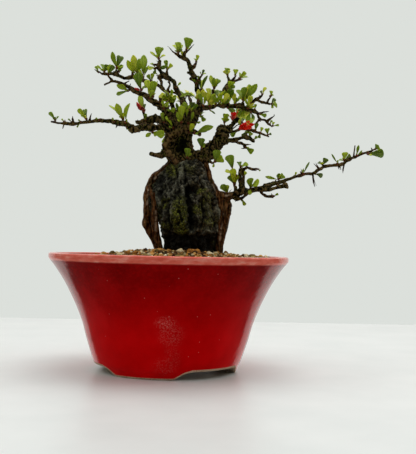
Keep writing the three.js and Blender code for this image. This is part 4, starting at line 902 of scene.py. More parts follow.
relief, painted_highlight_mask, painted_shade_mask = np.zeros((3, len(rock_points)))
bent = rock_view + np.stack([lumps(rock_points, 3.5, 2, shift) for shift in (4.0, 8.0)], 1) * 1.1
for lines, sign, mask in ((RIDGES, 1, painted_highlight_mask), (CRACKS, -1, painted_shade_mask)):
    for line, much, wide in lines:
        near = fade_from(bent, line, wide)
        relief += sign * LINE_RELIEF * front * much * near
        np.maximum(mask, front * near * min(1.0, much), out=mask)
for x, z, rx, rz, rise_by in BULGES:
    spot = near_spot(bent, x, z, rx, rz)
    relief += front * rise_by * spot
    if rise_by < -0.8:
        painted_shade_mask = np.maximum(painted_shade_mask, 0.8 * front * spot)
low = 1 - smooth(bent[:, 1], *UNDERCUT_TOP)
inside = smooth(rock_view[:, 0], *UNDERCUT_LEFT) * (1 - smooth(rock_view[:, 0], *UNDERCUT_RIGHT))
relief -= front * UNDERCUT_DEPTH * low * inside
painted_shade_mask = np.maximum(painted_shade_mask, 0.85 * front * low * inside)
# Rough stone all over, which stays clear of the wood
broad = lumps(rock_points, 9, 4, 1.3)
crag = cracked(rock_points, 6.5, 2.0, (1, 1, 1.6))
fold = np.abs(lumps(rock_points, 4.5, 4, 6.1))
furrow = np.abs(lumps(rock_points, 6.0, 4, 9.7, stretch=(1, 1, 2.2)))
relief += broad * 1.6 + (0.35 - fold) * 1.3 + (0.3 - furrow) * 1.6 + lumps(rock_points, 1.6, 4, 3.7) * 0.4
relief -= (1 - smooth(crag, 0.0, 0.22)) * (0.5 + 0.7 * (1 - front))
# Painted shade in the cell borders on the rock's back
painted_shade_mask = np.maximum(painted_shade_mask, (1 - front) * 0.6 * (1 - smooth(crag, 0.0, 0.2)))
room = np.array([wood_tree.find_nearest(Vector(p), 6.0)[3] or 6.0 for p in rock_points])
relief = np.minimum(relief, np.clip(room - ROOM_LEFT, 0.0, MOST_RELIEF))
hollow = relief - averaged(relief, rock_edges, 25)
# Painted shade where the stone lies below its neighbours, and painted highlight where it stands above them
painted_shade_mask = np.maximum(painted_shade_mask, 0.9 * (1 - smooth(hollow, -0.55, -0.05)))
painted_highlight_mask = np.maximum(painted_highlight_mask, 0.6 * smooth(hollow, 0.25, 0.8))
rock_moved = rock_points + rock_normals * relief[:, None]

moss_mask = np.zeros(len(rock_points))
for x, z, rx, rz, much in MOSS_SPOTS:
    moss_mask = np.maximum(moss_mask, front * much * near_spot(bent, x, z, rx, rz))
moss_back = smooth(lumps(rock_points, 7, 3, 5.2), -0.05, 0.35) * (1 - front)
moss_mask = np.clip(np.maximum(moss_mask, 0.9 * moss_back), 0, 1) * (1 - 0.85 * painted_shade_mask)
brown_mask = front * np.maximum(smooth(rock_view[:, 0], *BROWN_SIDE), near_spot(bent, *BROWN_SPOT) * 0.7)
rock_look = np.stack([moss_mask, painted_shade_mask, painted_highlight_mask * (1 - moss_mask) * 0.8, brown_mask * 0.8], 1)
rock = build("rock_stone", rock_moved, rock_faces)
paint(rock, rock_look)
add_piece(rock, ROCK, "rock", "rock")
rock_tree = BVHTree.FromPolygons(rock_moved.tolist(), rock_faces.tolist())


# Leaves

# The points along and across a leaf's blade, and how much of its length the stalk takes
ROWS, COLUMNS = 14, 7
STALK_SHARE = 0.1
# The crown, where leaves are paler, partly as painted light, narrower and more: heights, and places to the
# left and right
CROWN_FOOT, CROWN_HEAD, CROWN_LEFT, CROWN_RIGHT = 158.0, 173.0, -12.0, 56.0
# A leaf's usual tint and how much it varies, and its broadest width as a share of its length
CROWN_TINT, LEAF_TINT = (0.6, 0.28), (0.46, 0.18)
CROWN_BROADEST, BROADEST = 0.5, 0.8
# Leaves shorter than this have fewer points, and those at least so broad get the fan's outline
SMALL_LEAF, BROAD_SHARE = 3.5, 0.3


def fan(u):
    """A leaf's half width along its length, broadest near the end."""
    return (0.12 + 0.88 * min(1.0, u / 0.82)) * (1 - max(0.0, (u - 0.74) / 0.27) ** 2) ** 0.5


def oval(u):
    """A leaf's half width along its length, broadest past the middle."""
    return max(math.sin(math.pi * u ** 1.5) ** 0.7, 0.09)


def blade(foot, tip, width, face, bend=0.1, cup=0.3, tooth=0.03, thick_mm=0.2, wave=0.0, notch=0.0,
          outline=oval, rows=ROWS, columns=COLUMNS):
    """A closed leaf-like blade from foot to tip: its points, faces and [along, across]. bend arches it
    towards its face, cup lifts its edges, wave ripples it, and notch cuts in at its tip."""
    foot, tip = np.asarray(foot, float), np.asarray(tip, float)
    way = tip - foot
    length = np.linalg.norm(way)
    along = way / length
    face = unit(face - along * (face @ along))
    side = np.cross(face, along)
    points, shares = [], []
    loop = [(c, 1) for c in range(columns)] + [(c, -1) for c in range(columns - 2, 0, -1)]
    for i in range(rows):
        u = 0.02 + 0.955 * i / (rows - 1)
        half = 0.5 * width * outline(u)
        if u > 0.35:
            half *= 1 + tooth * (-1) ** i
        for c, level in loop:
            v = -1 + 2 * c / (columns - 1)
            far = u - notch * (1 - abs(v)) * u ** 4 - 0.6 * tooth * (c % 2) * u ** 6
            arch = math.sin(math.pi * far) - 0.35 * math.sin(math.pi * far * far)
            lift = cup * half * abs(v) ** 1.4 + wave * half * math.sin(9 * u + 2.2 * v)
            body = 0.5 * thick_mm * level * (1 - v * v) ** 0.5
            points.append(foot + way * far + side * half * v + face * (bend * length * arch + lift + body))
            shares.append((u, abs(v)))
    points += [foot, foot + way * (1 - notch)]
    shares += [(0, 0), (1, 0)]
    return np.array(points), ring_faces(rows, len(loop)), np.array(shares)


def put_blade(lot, kind, tint, *args, **kwargs):
    """Adds a blade to a lot, with the kind and tint that leaf_material reads."""
    points, faces, shares = blade(*args, **kwargs)
    lot.put(points, faces, np.column_stack([shares, np.full((len(points), 2), [tint, kind])]))


def leaf(lot, bud, tip, width, turn, draw, tint=None):
    """A leaf on its stalk, which faces the viewer but for a turn; without a tint it draws its own."""
    way = tip - bud
    length = np.linalg.norm(way)
    along = way / length
    face = np.array([0.0, -1.0, 0.35])
    if abs(unit(face) @ along) > 0.9:
        face = np.array([0.0, -0.3, 1.0])
    face = unit(face - along * (face @ along))
    face = face * math.cos(turn) + np.cross(along, face) * math.sin(turn)
    foot = bud + way * STALK_SHARE - face * 0.02 * length
    middle = bud + way * STALK_SHARE * 0.5 - face * 0.02 * length
    points, faces = tube([bud - along * 0.25, middle, foot + along * 0.5], [0.28, 0.22, 0.18], 5)
    crowded = tip[2] > CROWN_FOOT and CROWN_LEFT < tip[0] < CROWN_RIGHT
    own_tint = float(np.clip(draw.normal(*(CROWN_TINT if crowded else LEAF_TINT)), 0, 0.95))
    broadest = CROWN_BROADEST if crowded and tint is None else BROADEST
    tint = own_tint if tint is None else tint
    lot.put(points, faces, (0.05, 0.3, tint, 1))
    small = length < SMALL_LEAF
    broad = width > BROAD_SHARE * length
    width = min(1.2 * width, broadest * length)
    put_blade(lot, 1, tint, foot, tip, width / math.cos(turn), face,
              bend=draw.uniform(0.0, 0.15), cup=draw.uniform(0.1, 0.5), wave=draw.uniform(0.0, 0.08),
              notch=draw.uniform(-0.02, 0.07) if broad else 0.0, outline=fan if broad else oval,
              rows=7 if small else ROWS, columns=5 if small else COLUMNS)


def scales(lot, seat, axis, size, count, draw):
    """Small overlapping brown scales round a bud."""
    side, other, along = turned_frame(axis)
    for k in range(count):
        turn = 2.4 * k + draw.uniform(-0.3, 0.3)
        out = side * math.cos(turn) + other * math.sin(turn)
        reach = size * draw.uniform(0.8, 1.25)
        foot, tip = seat + out * 0.15 - along * 0.3, seat + out * (0.45 + 0.25 * reach) + along * reach
        put_blade(lot, 0, 0.5, foot, tip, 0.95 * size, -out + 0.3 * along, bend=-0.18, cup=0.5, tooth=0,
                  thick_mm=0.18, rows=5, columns=5)


# Each CAD cluster's name, its bud's x and z in the front view, and its leaves: the tip's x and z, the leaf's
# width, how far its tip lies behind the bud, and for some a tint from 0, dark, to 1, pale, partly painted
# light and shade
CLUSTERS = {
    "left_tip": [(-70, 148.4), (-75, 154.4, 2.4, -2, 0.3), (-69.3, 152.3, 1.3, 1.5), (-72.5, 151.3, 1, -1)],
    "left_end": [(-51.5, 149.8), (-57.5, 156.8, 2.8, -3, 0.6), (-53.6, 157, 2.8, 2, 0.2),
        (-55.5, 153.5, 1.6, 0)],
    "left_mid": [(-29, 148.8), (-34.2, 160.8, 3.2, -3, 0.6), (-38.5, 159.7, 2, 3), (-26.4, 161.2, 2.2, 1),
        (-30.5, 155.5, 1.8, -1)],
    "upper_left": [(-16.6, 154.6), (-20.4, 166.6, 3, 4), (-17.2, 161.4, 1.8, 1)],
    "below_left": [(-12, 147), (-5, 143, 3.8, -5), (-16, 141.7, 1.8, -3), (-9.5, 142.6, 2, -2)],
    "rising_under": [(-24.4, 169.9), (-34.2, 172.6, 2.4, -2, 0.5), (-34, 166.8, 2.6, -1, 0.35),
        (-29.6, 168.4, 1.8, 2)],
    "rising_mid": [(-18.6, 167.6), (-21.2, 180, 4.8, -5, 0.25), (-16.4, 173, 1.8, -1)],
    "rising_inner": [(-11.5, 163.2), (-17, 175.4, 4.4, -4, 0.62), (-9.8, 175.5, 1.2, 2),
        (-12.4, 169.5, 2, 0)],
    "top_left_tip": [(-42, 179.1), (-46.8, 183.6, 2.2, -3), (-43.8, 185, 2.2, 2), (-40.3, 184.6, 3.8, -1),
        (-38.2, 184.6, 2.2, 1), (-44.5, 181.6, 1.4, 0)],
    "top_left_spur": [(-35, 182), (-37.6, 192.5, 2.5, -2), (-32.6, 190.3, 4, 1), (-31, 184, 2.5, -3),
        (-35.2, 187, 2.2, 2)],
    "top_left_mid": [(-18.3, 176.5), (-18.4, 191, 4, 1, 0.45), (-15.2, 185, 1.6, -3), (-21.2, 182, 2, -1)],
    "top_middle_side": [(-8.6, 183), (-15.5, 183, 3, -2), (-13.9, 186.6, 2, 3), (-12, 180.4, 1.8, 0)],
    "top_middle_tip": [(-8.8, 188.2), (-7.8, 196.5, 6, -1, 0.4), (-14.4, 193.6, 1.4, 3), (-5.6, 192, 2, 1)],
    "centre": [(-1.8, 163.5), (-6.8, 165.4, 3.4, -5, 0.5), (-4.6, 169.8, 3.8, -6, 0.62), (0, 170, 2.4, -5),
        (-4.4, 159.6, 3.2, -6, 0.55), (1.6, 165.5, 2, -4)],
    "apex_left": [(2.6, 192.1), (1.8, 200, 3.8, -1, 0.5), (-0.8, 198, 2.4, 2, 0.65), (5, 198.5, 1.6, 2),
        (0.4, 194.9, 1.4, -1), (4.6, 196.2, 1.8, -1)],
    "apex_top": [(7.3, 194.6), (8.8, 202.8, 6.6, -1, 0.38), (9.8, 199, 1.6, 1)],
    "apex_low": [(17.2, 179.9), (18.6, 183.6, 2.6, -1), (19.6, 181.6, 1.4, 2), (16.2, 182.2, 1.4, -1)],
    "right_first": [(16.1, 169), (18.3, 177, 2.8, 3), (20.8, 179.8, 1.9, -2), (17.4, 171.4, 1.6, -1)],
    "right_second": [(24.8, 171.1), (22.8, 180, 2.2, 3, 0.6), (28, 178, 3.8, -1, 0.35),
        (25, 178.8, 1.9, -3, 0.4), (26.4, 175, 2, 1)],
    "right_third": [(24, 165), (18, 169, 3.6, -3), (28.6, 170.5, 3.6, 4), (21.3, 172, 3.4, 3),
        (20, 164.6, 2.6, -3), (26.4, 168, 2.6, -2)],
    "right_fourth": [(29.2, 163.6), (27, 168.8, 3, -3), (31.3, 170.6, 3.4, -6), (35, 167, 3, -3),
        (32.6, 164.9, 2.4, -2)],
    "right_fifth": [(32.6, 170.5), (36, 176.8, 4, -5, 0.62), (36.5, 170.2, 3, -4), (35.4, 173.5, 2, -2)],
    "right_fan": [(43.2, 164.1), (39.8, 171.6, 3.8, 1, 0.4), (43.6, 173.4, 3.8, -4, 0.35),
        (48, 174.6, 4, 0, 0.5), (51.2, 175.4, 3.4, -4, 0.45), (46, 170.5, 2.6, -1), (40.3, 167.8, 2.2, -1)],
    "riser_tip": [(33.2, 180), (32.5, 185, 4.8, 1, 0.45), (34.6, 183.6, 1.8, -1), (30.8, 183.4, 1.8, 0)],
    "riser_far": [(40.2, 178.3), (44.2, 183, 2.4, -1), (45.6, 180, 2.4, 3), (40.6, 182.4, 1.6, 2),
        (42.4, 180.4, 1.8, 0)],
    "right_top_end": [(59.8, 163.8), (63, 167, 2.6, -1), (64.2, 162.8, 2.8, 2), (61.6, 161.4, 1.4, 0)],
    "knob": [(32.2, 150.7), (32.4, 157, 3.6, -1), (30.2, 154, 1.8, 0), (34.2, 154.2, 1.8, 0.5)],
    "by_flower": [(47, 148), (44.6, 158.4, 3, 6), (49.8, 155.6, 2.8, 4), (43.5, 143, 3, 1),
        (48.4, 144, 3, 3), (46.2, 145.2, 1.8, 0)],
    "trunk_front": [(10.7, 157.8), (6.3, 162.8, 2.2, -4), (12, 163.4, 2.2, -2), (9.4, 160.6, 2, -2)],
    "trunk_right": [(14.8, 155), (19.2, 157.4, 3, -4), (19.6, 152, 2.6, -2), (17.6, 154.2, 2.2, -3)],
    "limb_low": [(25.1, 126.1), (27.2, 134.4, 4.6, -3, 0.35), (31.4, 129.6, 4.6, 0, 0.55),
        (25.4, 124, 1.3, 0)],
    "twig_top": [(42.2, 122.6), (41.2, 127.4, 5.6, 2, 0.25), (46.8, 126.4, 3.4, 0, 0.5),
        (43.4, 125.4, 1.8, 1)],
    "twig_low": [(39.2, 112.3), (36.8, 119.2, 4, -2, 0.3), (41, 119.2, 2, -4), (38.4, 123, 3.4, -4, 0.75)],
    "long_first": [(47.4, 109.4), (47.6, 117.4, 7.4, -3, 0.42), (54, 115, 6, -5, 0.55),
        (48.6, 107.6, 2.4, -2)],
    "long_middle": [(66, 115.8), (65.4, 120.6, 4.2, -2, 0.25), (69, 120.2, 4.8, 1, 0.4),
        (58.2, 118.8, 1.6, 2), (67.4, 120.6, 4, -1, 0.35)],
    "long_far": [(92.5, 125.2), (95, 131.2, 5.8, -1, 0.12), (90.6, 128.6, 2, 3, 0.1), (93, 128.8, 2, -1)],
    "long_end": [(106, 128), (106.8, 135.2, 4.8, -2, 0.6), (110.4, 133.2, 2.8, 3, 0.3),
        (103.4, 130.4, 2.2, 2)],
    "long_tip": [(124.6, 136.7), (126.8, 140.6, 3.2, 0, 0.3), (128.4, 138.8, 2, 1, 0.5)],
    "back_top": [(8.4, 165.3), (4.4, 168, 3.4, 9), (12.4, 168.4, 3.4, 7), (8.6, 167, 3.4, 10),
        (5.4, 165.6, 2.2, 5)],
    "back_side": [(38.8, 154.1), (41, 160.6, 3.8, 5), (46.4, 158.2, 3.8, 3), (43, 155.2, 3.6, 8),
        (39.4, 158, 2, 3)],
    "back_inner": [(-4, 161.8), (-7.6, 167.6, 3.8, 4), (0.2, 167.6, 3.8, 3), (-4.4, 164.6, 3.4, 8),
        (-1.6, 163.9, 2, 3)],
}
# The same for finer tufts that the CAD leaves to this script, in groups of one piece each
MORE_CLUSTERS = {
    "left_fine": [[(-66, 148.8), (-67.3, 150.9, 1, 0)], [(-61, 148.6), (-63.4, 151, 1.2, 0)],
        [(-54.8, 149.4), (-57.4, 150.6, 1.2, -1), (-57.8, 146, 1.3, 0)],
        [(-28.3, 147.2), (-24.8, 144.8, 1.8, -1)], [(-44.5, 150.4), (-46.8, 152, 1, 0)],
        [(-35, 150), (-36.8, 152.4, 1.1, 0)]],
    "left_inner": [[(-16.3, 151.4), (-17, 155.4, 2, -1)], [(-3.5, 144.6), (-5, 138.2, 2.5, -3)],
        [(-20.5, 177.5), (-20.8, 181.4, 1.8, 0)], [(-9.2, 177.6), (-10.6, 180.6, 1.5, 0)],
        [(-2.8, 176.7), (-2.5, 179.4, 1.5, 0)],
        [(-3.6, 182.8), (-5.4, 188.6, 2.8, -2), (-1.4, 186.4, 2.2, 1), (-4, 185.2, 1.6, 0)],
        [(-9.6, 182.8), (-4.5, 185, 1.8, -3)]],
    "trunk": [[(0.4, 146.4), (-4, 154, 2.8, -2)],
        [(5, 150), (5.8, 160.6, 3.8, -5, 0.6), (2.8, 157, 1.8, -4)],
        [(9.4, 150.6), (10.8, 161, 2.4, -5), (12.6, 157.2, 1.8, -4)],
        [(-4.6, 150.6), (-6.6, 156.4, 2.2, -3)],
        [(-1.4, 153), (-2.6, 158.6, 2.4, -4), (0.6, 159.4, 2.2, -4)], [(13.4, 150.4), (17, 151, 2.2, -2)],
        [(10.4, 144.6), (12.8, 150, 3, -4, 0.75)],
        [(13, 144.2), (24.6, 148.6, 3.6, -3, 0.4), (21, 145.6, 1.4, -1)],
        [(18.3, 134.4), (18, 141.4, 4.2, -1.5, 0.2), (20, 138.4, 1.6, 0)],
        [(9.3, 129), (9.8, 134.9, 3.6, -2), (11.6, 132.2, 1.6, -1)], [(1.2, 136.6), (1.5, 140.8, 2, -1.5)],
        [(-5.8, 131.6), (-5.8, 134, 1.5, 0)], [(-1.5, 128.5), (-4, 130.4, 1.6, -1)],
        [(4.4, 151.6), (4.2, 154.9, 1.8, -1.5)]],
    "apex": [[(13.6, 187.4), (14.4, 192.6, 2.7, -1), (12.6, 190.4, 1.5, 1)],
        [(15.2, 176.4), (15, 179.9, 1.5, -1)], [(5.8, 190.8), (5, 194.6, 1.5, -1)]],
    "right_fine": [[(50.4, 159.6), (51, 163.4, 2.8, -1)], [(53, 157.9), (57.5, 156.2, 2.5, -1)],
        [(62, 149.8), (62.5, 152.7, 1.7, 0), (65.6, 150.6, 1.7, -1)], [(33.4, 160.8), (38.2, 158.6, 2, -1)],
        [(22.2, 160), (26, 156.8, 0.8, -1, 0.2)],
        [(54.8, 168.9), (57.2, 173.8, 3.3, -1), (54, 171.8, 1.6, 1)],
        [(59.7, 168), (60.2, 172, 2.6, 0), (61.8, 169.6, 1.3, 0)],
        [(37.5, 180), (38.2, 184.5, 3.8, 0, 0.6)], [(48, 164.2), (47.6, 168, 2, -2)],
        [(59.6, 151), (61.4, 153.6, 1.4, 0)]],
    "crown": [[(19, 160.4), (16, 168.5, 2.6, -4), (20.5, 167, 2.4, -6)],
        [(22.4, 161), (21, 169.5, 2.8, -7), (25.6, 168.4, 2.6, -5), (23.4, 165.4, 2, -4)],
        [(26.8, 161.6), (25.2, 167.4, 2.6, -6), (29.6, 167.6, 2.6, -8)],
        [(31, 161.6), (33.4, 169.4, 2.8, -6), (30, 166.2, 2.2, -4), (28.6, 163.8, 1.8, -4)],
        [(34.4, 162), (35.6, 172.2, 4, -6), (33.6, 165.6, 2.2, -4)],
        [(38.4, 162), (37.4, 169.6, 2.6, -3), (41.4, 166.6, 2.4, -5)],
        [(46, 160.8), (47.6, 168.4, 3, -5), (44.2, 165.4, 2.2, -5), (49.4, 164.4, 2, -3)],
        [(33.2, 166), (28.6, 170.8, 2.2, -3), (35.6, 171.4, 2.6, -5)],
        [(15.8, 163.6), (14.2, 168, 1.4, -2), (18.6, 171.4, 2.4, -2)],
        [(48.6, 159.4), (46.4, 153.6, 2.6, -3), (44.6, 156.4, 2.4, -1), (49.8, 154.6, 2, -1)],
        [(43.4, 160.8), (40.6, 156.2, 2.2, 0), (43.4, 155.6, 2.4, 1)]],
    "top_left": [[(-39.4, 179.4), (-36.8, 184.4, 2.6, -2), (-39.6, 183.6, 2, -1)],
        [(-33, 180.6), (-31.2, 184.8, 2.6, -2), (-33.8, 184.6, 2, -1)], [(-45.5, 180), (-48, 183.4, 2, -1)],
        [(-16.4, 172), (-13, 166.2, 3, -3, 0.62)], [(-28.6, 148.4), (-27, 160.8, 2, -2)]],
    "crown_left": [[(3, 155.6), (2, 162.4, 1.8, -4), (5.4, 161.6, 1.6, -4)],
        [(0, 160.6), (-3.4, 166.2, 2.4, -4), (1.6, 167.4, 2.2, -4)],
        [(-5.4, 158.6), (-2.4, 162.4, 2, -3), (-6.6, 163.6, 1.8, -3)],
        [(8.6, 156), (6.2, 160.4, 1.8, -5), (10.6, 161.8, 1.8, -5)],
        [(11.6, 157), (14.2, 162.6, 2.4, -4), (12, 159.8, 2, -5)], [(-14.4, 164.8), (-12.4, 170, 2.2, -2)],
        [(-12.8, 174.8), (-12.6, 180.4, 2.2, -2), (-15.6, 179.6, 2, -1)],
        [(-23, 177.4), (-24.8, 190.8, 3.6, -1, 0.85), (-28.2, 187.6, 2.6, 0, 0.7),
        (-21.2, 188.8, 3, -1, 0.5)], [(1.8, 171.6), (4.6, 175.2, 1.8, -2)],
        [(14.4, 174.6), (12, 178.4, 1.6, -1)]],
    "limb_fine": [[(50.4, 146.9), (51.8, 151.7, 2.6, -1)],
        [(54.8, 145.5), (55.2, 149.2, 2, 0), (53.5, 142.6, 2, 0)],
        [(58.4, 144.6), (58.6, 148.7, 2.8, 0), (61, 145.4, 1.6, 0)], [(44.6, 137), (49.8, 133.8, 3, 0)],
        [(40, 147.3), (36, 143.6, 2.5, -1)], [(49.8, 141), (52, 143.6, 1.6, 0)],
        [(42.5, 148.2), (41, 154.6, 3, 3)]],
    "twig_fine": [[(37.4, 118.6), (33.2, 121.8, 2.6, 0)], [(44.2, 118.6), (45.6, 121.6, 1.9, 0)],
        [(34.6, 107.6), (31.2, 113, 3.4, -2), (34.4, 113, 2.6, -1)], [(43.2, 105.4), (45.8, 101.2, 1.8, 0)],
        [(52.6, 123.1), (54.6, 122.4, 1.2, 0)]],
    "long_fine": [[(62.8, 106.9), (66, 108.4, 1.5, 0)], [(81.4, 120.5), (84.8, 128.4, 1.1, 0, 0.2)],
        [(87.3, 121.8), (93, 120, 5, -1, 0.1)], [(102.2, 127.3), (98.8, 133.8, 0.8, 1)],
        [(114.2, 133), (115.4, 139.6, 1.5, 0, 0.3), (117.5, 136.6, 0.9, 0)],
        [(75.4, 118.8), (76.8, 122.2, 1.2, 0)], [(120.6, 133.6), (130.6, 135, 5, -1, 0.15)]],
    "back_forks": [[(5.6, 162.8), (3, 167, 3, 3), (6.6, 168, 2.8, 4), (2.4, 163.6, 2.4, 5)],
        [(42, 151.3), (45.5, 155.5, 3, 3), (40.5, 156, 2.6, 4), (45, 150.5, 2.2, 4)],
        [(-3.4, 156.9), (-7.4, 159.8, 3, 3), (-2.6, 161, 2.6, 4), (-6.6, 155.4, 2.2, 4)],
        [(9, 148.8), (11.6, 153.4, 3, 3), (7, 153.6, 2.6, 4), (12, 149.8, 2.2, 4)],
        [(3.4, 150.2), (0.4, 154, 2.8, 3), (4.6, 155.2, 2.6, 4)]],
}
# How far past its listed tip a leaf reaches, and how far it may turn from the viewer
LEAF_STRETCH = 1.06
MOST_TURN = math.radians(34)
# In the crown, the length from which a leaf may get a second one beside it, and how often it does
SECOND_LEAF_FROM, SECOND_LEAF_SHARE = 4.5, 0.6


def grow(lot, bud, outward, leaves, draw):
    """Leaves, a tiny leaf and scales that sprout from one bud. In the crown a long leaf may get a second one
    beside it."""
    tips = [seen(x, z, bud[1] + depth) for x, z, _, depth, *_ in leaves]
    tips = [bud + (tip - bud) * LEAF_STRETCH for tip in tips]
    mean = unit(np.mean([unit(t - bud) for t in tips], axis=0) + 1e-6)
    seat = bud + unit(mean + 0.5 * outward) * 0.35
    for i, (tip, (_, _, width, _, *tint)) in enumerate(zip(tips, leaves)):
        turn = MOST_TURN * math.sin(2.3 * i + tip[0])
        leaf(lot, seat, tip, width, turn, draw, *tint)
        length = np.linalg.norm(tip - seat)
        crowded = CROWN_FOOT < seat[2] < CROWN_HEAD and CROWN_LEFT < seat[0]
        if length > SECOND_LEAF_FROM and crowded and draw.uniform() < SECOND_LEAF_SHARE:
            off = unit(np.cross(tip - seat, [0, -1, 0.2])) * length * draw.uniform(0.25, 0.45) * (-1) ** i
            near = seat + (tip - seat) * draw.uniform(0.6, 0.85) + off + [0, draw.uniform(-1.5, 1.5), 0]
            leaf(lot, seat, near, width * draw.uniform(0.6, 0.85), draw.uniform(-0.6, 0.6), draw)
    reach = max(np.linalg.norm(t - seat) for t in tips)
    side, other, _ = turned_frame(mean)
    turn = draw.uniform(0, 2 * math.pi)
    out = unit(mean + 0.7 * (side * math.cos(turn) + other * math.sin(turn)))
    size = min(3.4, reach * draw.uniform(0.3, 0.45))
    leaf(lot, seat, seat + out * size, size * 0.4, draw.uniform(-0.5, 0.5), draw)
    scales(lot, seat - mean * 0.2, mean, min(1.7, 0.5 + 0.12 * reach), 4, draw)


# How near its bud a CAD cluster's points are looked for
BUD_REACH = 2.6
leaf_draw = np.random.default_rng(7)
for name, ((x, z), *leaves) in CLUSTERS.items():
    # The CAD cluster's points by its bud tell how deep the bud lies; the nearest bark is its seat.
    node = f"leaves_{name}"
    points, _ = welded_copy(node)
    near = points[np.hypot(*(view_of(points) - [x, z]).T) < BUD_REACH]
    point, normal, _, _ = min((bark_tree.find_nearest(Vector(p)) for p in near), key=lambda hit: hit[3])
    lot = Lot()
    grow(lot, np.array(point), np.array(normal), leaves, leaf_draw)
    add_piece(lot.make(f"cluster_{name}"), LEAF, "leaf", node)

# A leaf that arches over the crown's left, then a shoot that carries one large leaf
single = Lot()
ARCH_HEIGHT = 2.4
point, _ = on_bark(14.2, 165)
points, faces, shares = blade(point, seen(4.2, 166.4, point[1] - 4), 2.2, np.array([0, -1, 0.4]), bend=0.05)
points[:, 2] += ARCH_HEIGHT * np.sin(math.pi * shares[:, 0])
single.put(points, faces, np.column_stack([shares, np.full((len(points), 2), [0.4, 1])]))
point, _ = on_bark(38.8, 113)
shoot = [point - [0, 0, 0.6], seen(37.6, 118, point[1] - 1), seen(37.4, 124.2, point[1] - 1)]
points, faces = tube(spline(shoot, 3), np.linspace(0.7, 0.35, 7), 8, 3.0, 0.1)
single.put(points, faces, (0.1, 0.3, 0.4, 0))
foot, tip = seen(37.4, 123.4, point[1] - 1), seen(34.7, 131.6, point[1] - 2)
put_blade(single, 1, 0.32, foot, tip, 6.6, np.array([0.2, -1, 0.3]), cup=0.2, wave=0.05, outline=fan)
add_piece(single.make("small_leaves_single"), LEAF, "leaf")

for name, group in MORE_CLUSTERS.items():
    lot = Lot()
    for (x, z), *leaves in group:
        grow(lot, *on_bark(x, z, 1 if name == "back_forks" else -1), leaves, leaf_draw)
    add_piece(lot.make(f"small_leaves_{name}"), LEAF, "leaf")


# Pot

POT_SIDES = 192
# The foot's three cut-outs: the turns of their middles, then how high they are at places off the middle
ARCHES = [math.radians(a) for a in (41, 161, 281)]
ARCH_PLACES, ARCH_HEIGHTS = [16.0, 17.3, 19.5, 24.5], [4.8, 4.3, 3.6, 0.0]
# The pot's section as [radius, height], from the foot up the outside, down the inside and under the floor
POT_OUTSIDE = [
    (41.4, 0), (42.2, 0.8), (43.3, 3.5), (45, 7), (48.9, 19), (51.7, 29), (56.1, 40), (62.1, 52),
    (67.9, 61), (71, 65), (72.2, 66.5), (72.5, 67.4), (72.5, 68.8), (72.1, 69.4), (71.3, 69.7),
]
POT_INSIDE = [
    (68.9, 69.7), (68.1, 69.2), (67, 66.2), (58.6, 53), (49.2, 35), (44.4, 19), (42.2, 11.6), (40.4, 10.4),
]
POT_UNDER = [
    (24, 10.35), (9.6, 10.3), (9, 9.7), (9, 6.7), (9.6, 6.1), (22, 6), (34.2, 6), (35, 5.4), (35.4, 0.8),
    (36.2, 0),
]
# The height where the cut-outs fade out, and the radius inside and outside of the foot
FOOT_BLEND, FOOT_INSIDE, FOOT_EDGE = 8.0, 35.2, 42
# How many rows down the inside the glaze ends, and the heights between which the lip turns pale, from thinner
# glaze and a painted highlight, and the rest of the glaze goes darker upwards, as painted shade
GLAZED_ROWS = 20
LIP_HEIGHTS, PAINTED_SHADE_HEIGHTS = (65.1, 65.9), (4, 68)
# A painted reflection of a window on the pot's front, in pale patches: place round the wall, height, half
# width, half height, how much; and the radius by which a turn becomes a place round the wall
REFLECTION_SPOTS = [(-1.2, 33, 6, 3.6, 1.0), (1.5, 26, 8, 8, 0.5), (3, 14, 6, 8, 0.25), (-1, 8, 9, 6, 0.4)]
WALL_RADIUS = 48


def arch_rise(turn, radius):
    """How far the foot is cut away above the floor."""
    off = [np.where(np.cos(turn - a) > 0, np.abs(radius * np.sin(turn - a)), 99.0) for a in ARCHES]
    return np.interp(np.min(off, axis=0), ARCH_PLACES, ARCH_HEIGHTS)


outside = np.vstack([POT_OUTSIDE[:1], spline(POT_OUTSIDE[1:], 5)])
section = np.vstack([outside, spline(POT_INSIDE, 4), POT_UNDER])
pot, turn = turned(section, POT_SIDES)
ring = np.arange(len(section))
for i in ring[(section[:, 1] < FOOT_BLEND) & (section[:, 0] > FOOT_INSIDE)]:
    radius, level = section[i]
    rise = arch_rise(turn, radius) * (1 - level / FOOT_BLEND)
    if i < len(outside):
        radius = np.interp(level + rise, outside[:, 1], outside[:, 0])
    pot[i] = np.stack([radius * np.sin(turn), -radius * np.cos(turn), level + rise], 1)
pot_points = pot.reshape(-1, 3)
pot_height = pot_points[:, 2]
# The wall is a little uneven, but for its foot.
uneven = lumps(pot_points, 26, 2, 4.4) * 0.22 + lumps(pot_points, 7, 2, 8.8) * 0.05
sideways = unit(pot_points * [1, 1, 0]) * (uneven * smooth(pot_height, 6, 14))[:, None]
outward = np.repeat(ring < len(outside), POT_SIDES)
cut = np.tile(arch_rise(turn, FOOT_EDGE), len(ring)) * outward
inner_bare = np.repeat(ring >= len(outside) + GLAZED_ROWS, POT_SIDES) * 1.0
bare = np.where(outward, 1 - smooth(pot_height - cut, 0.9, 1.3), inner_bare)
lip = smooth(pot_height, *LIP_HEIGHTS)
round_wall = ((np.tile(turn, len(ring)) + math.pi) % (2 * math.pi) - math.pi) * WALL_RADIUS
wall_view = np.stack([round_wall, pot_height], 1)
painted_reflection = 0.0
for *spot, much in REFLECTION_SPOTS:
    painted_reflection = np.maximum(painted_reflection, outward * much * near_spot(wall_view, *spot))
pot = build("pot_glazed", pot_points + sideways, ring_faces(len(ring), POT_SIDES, closed=True), 50)
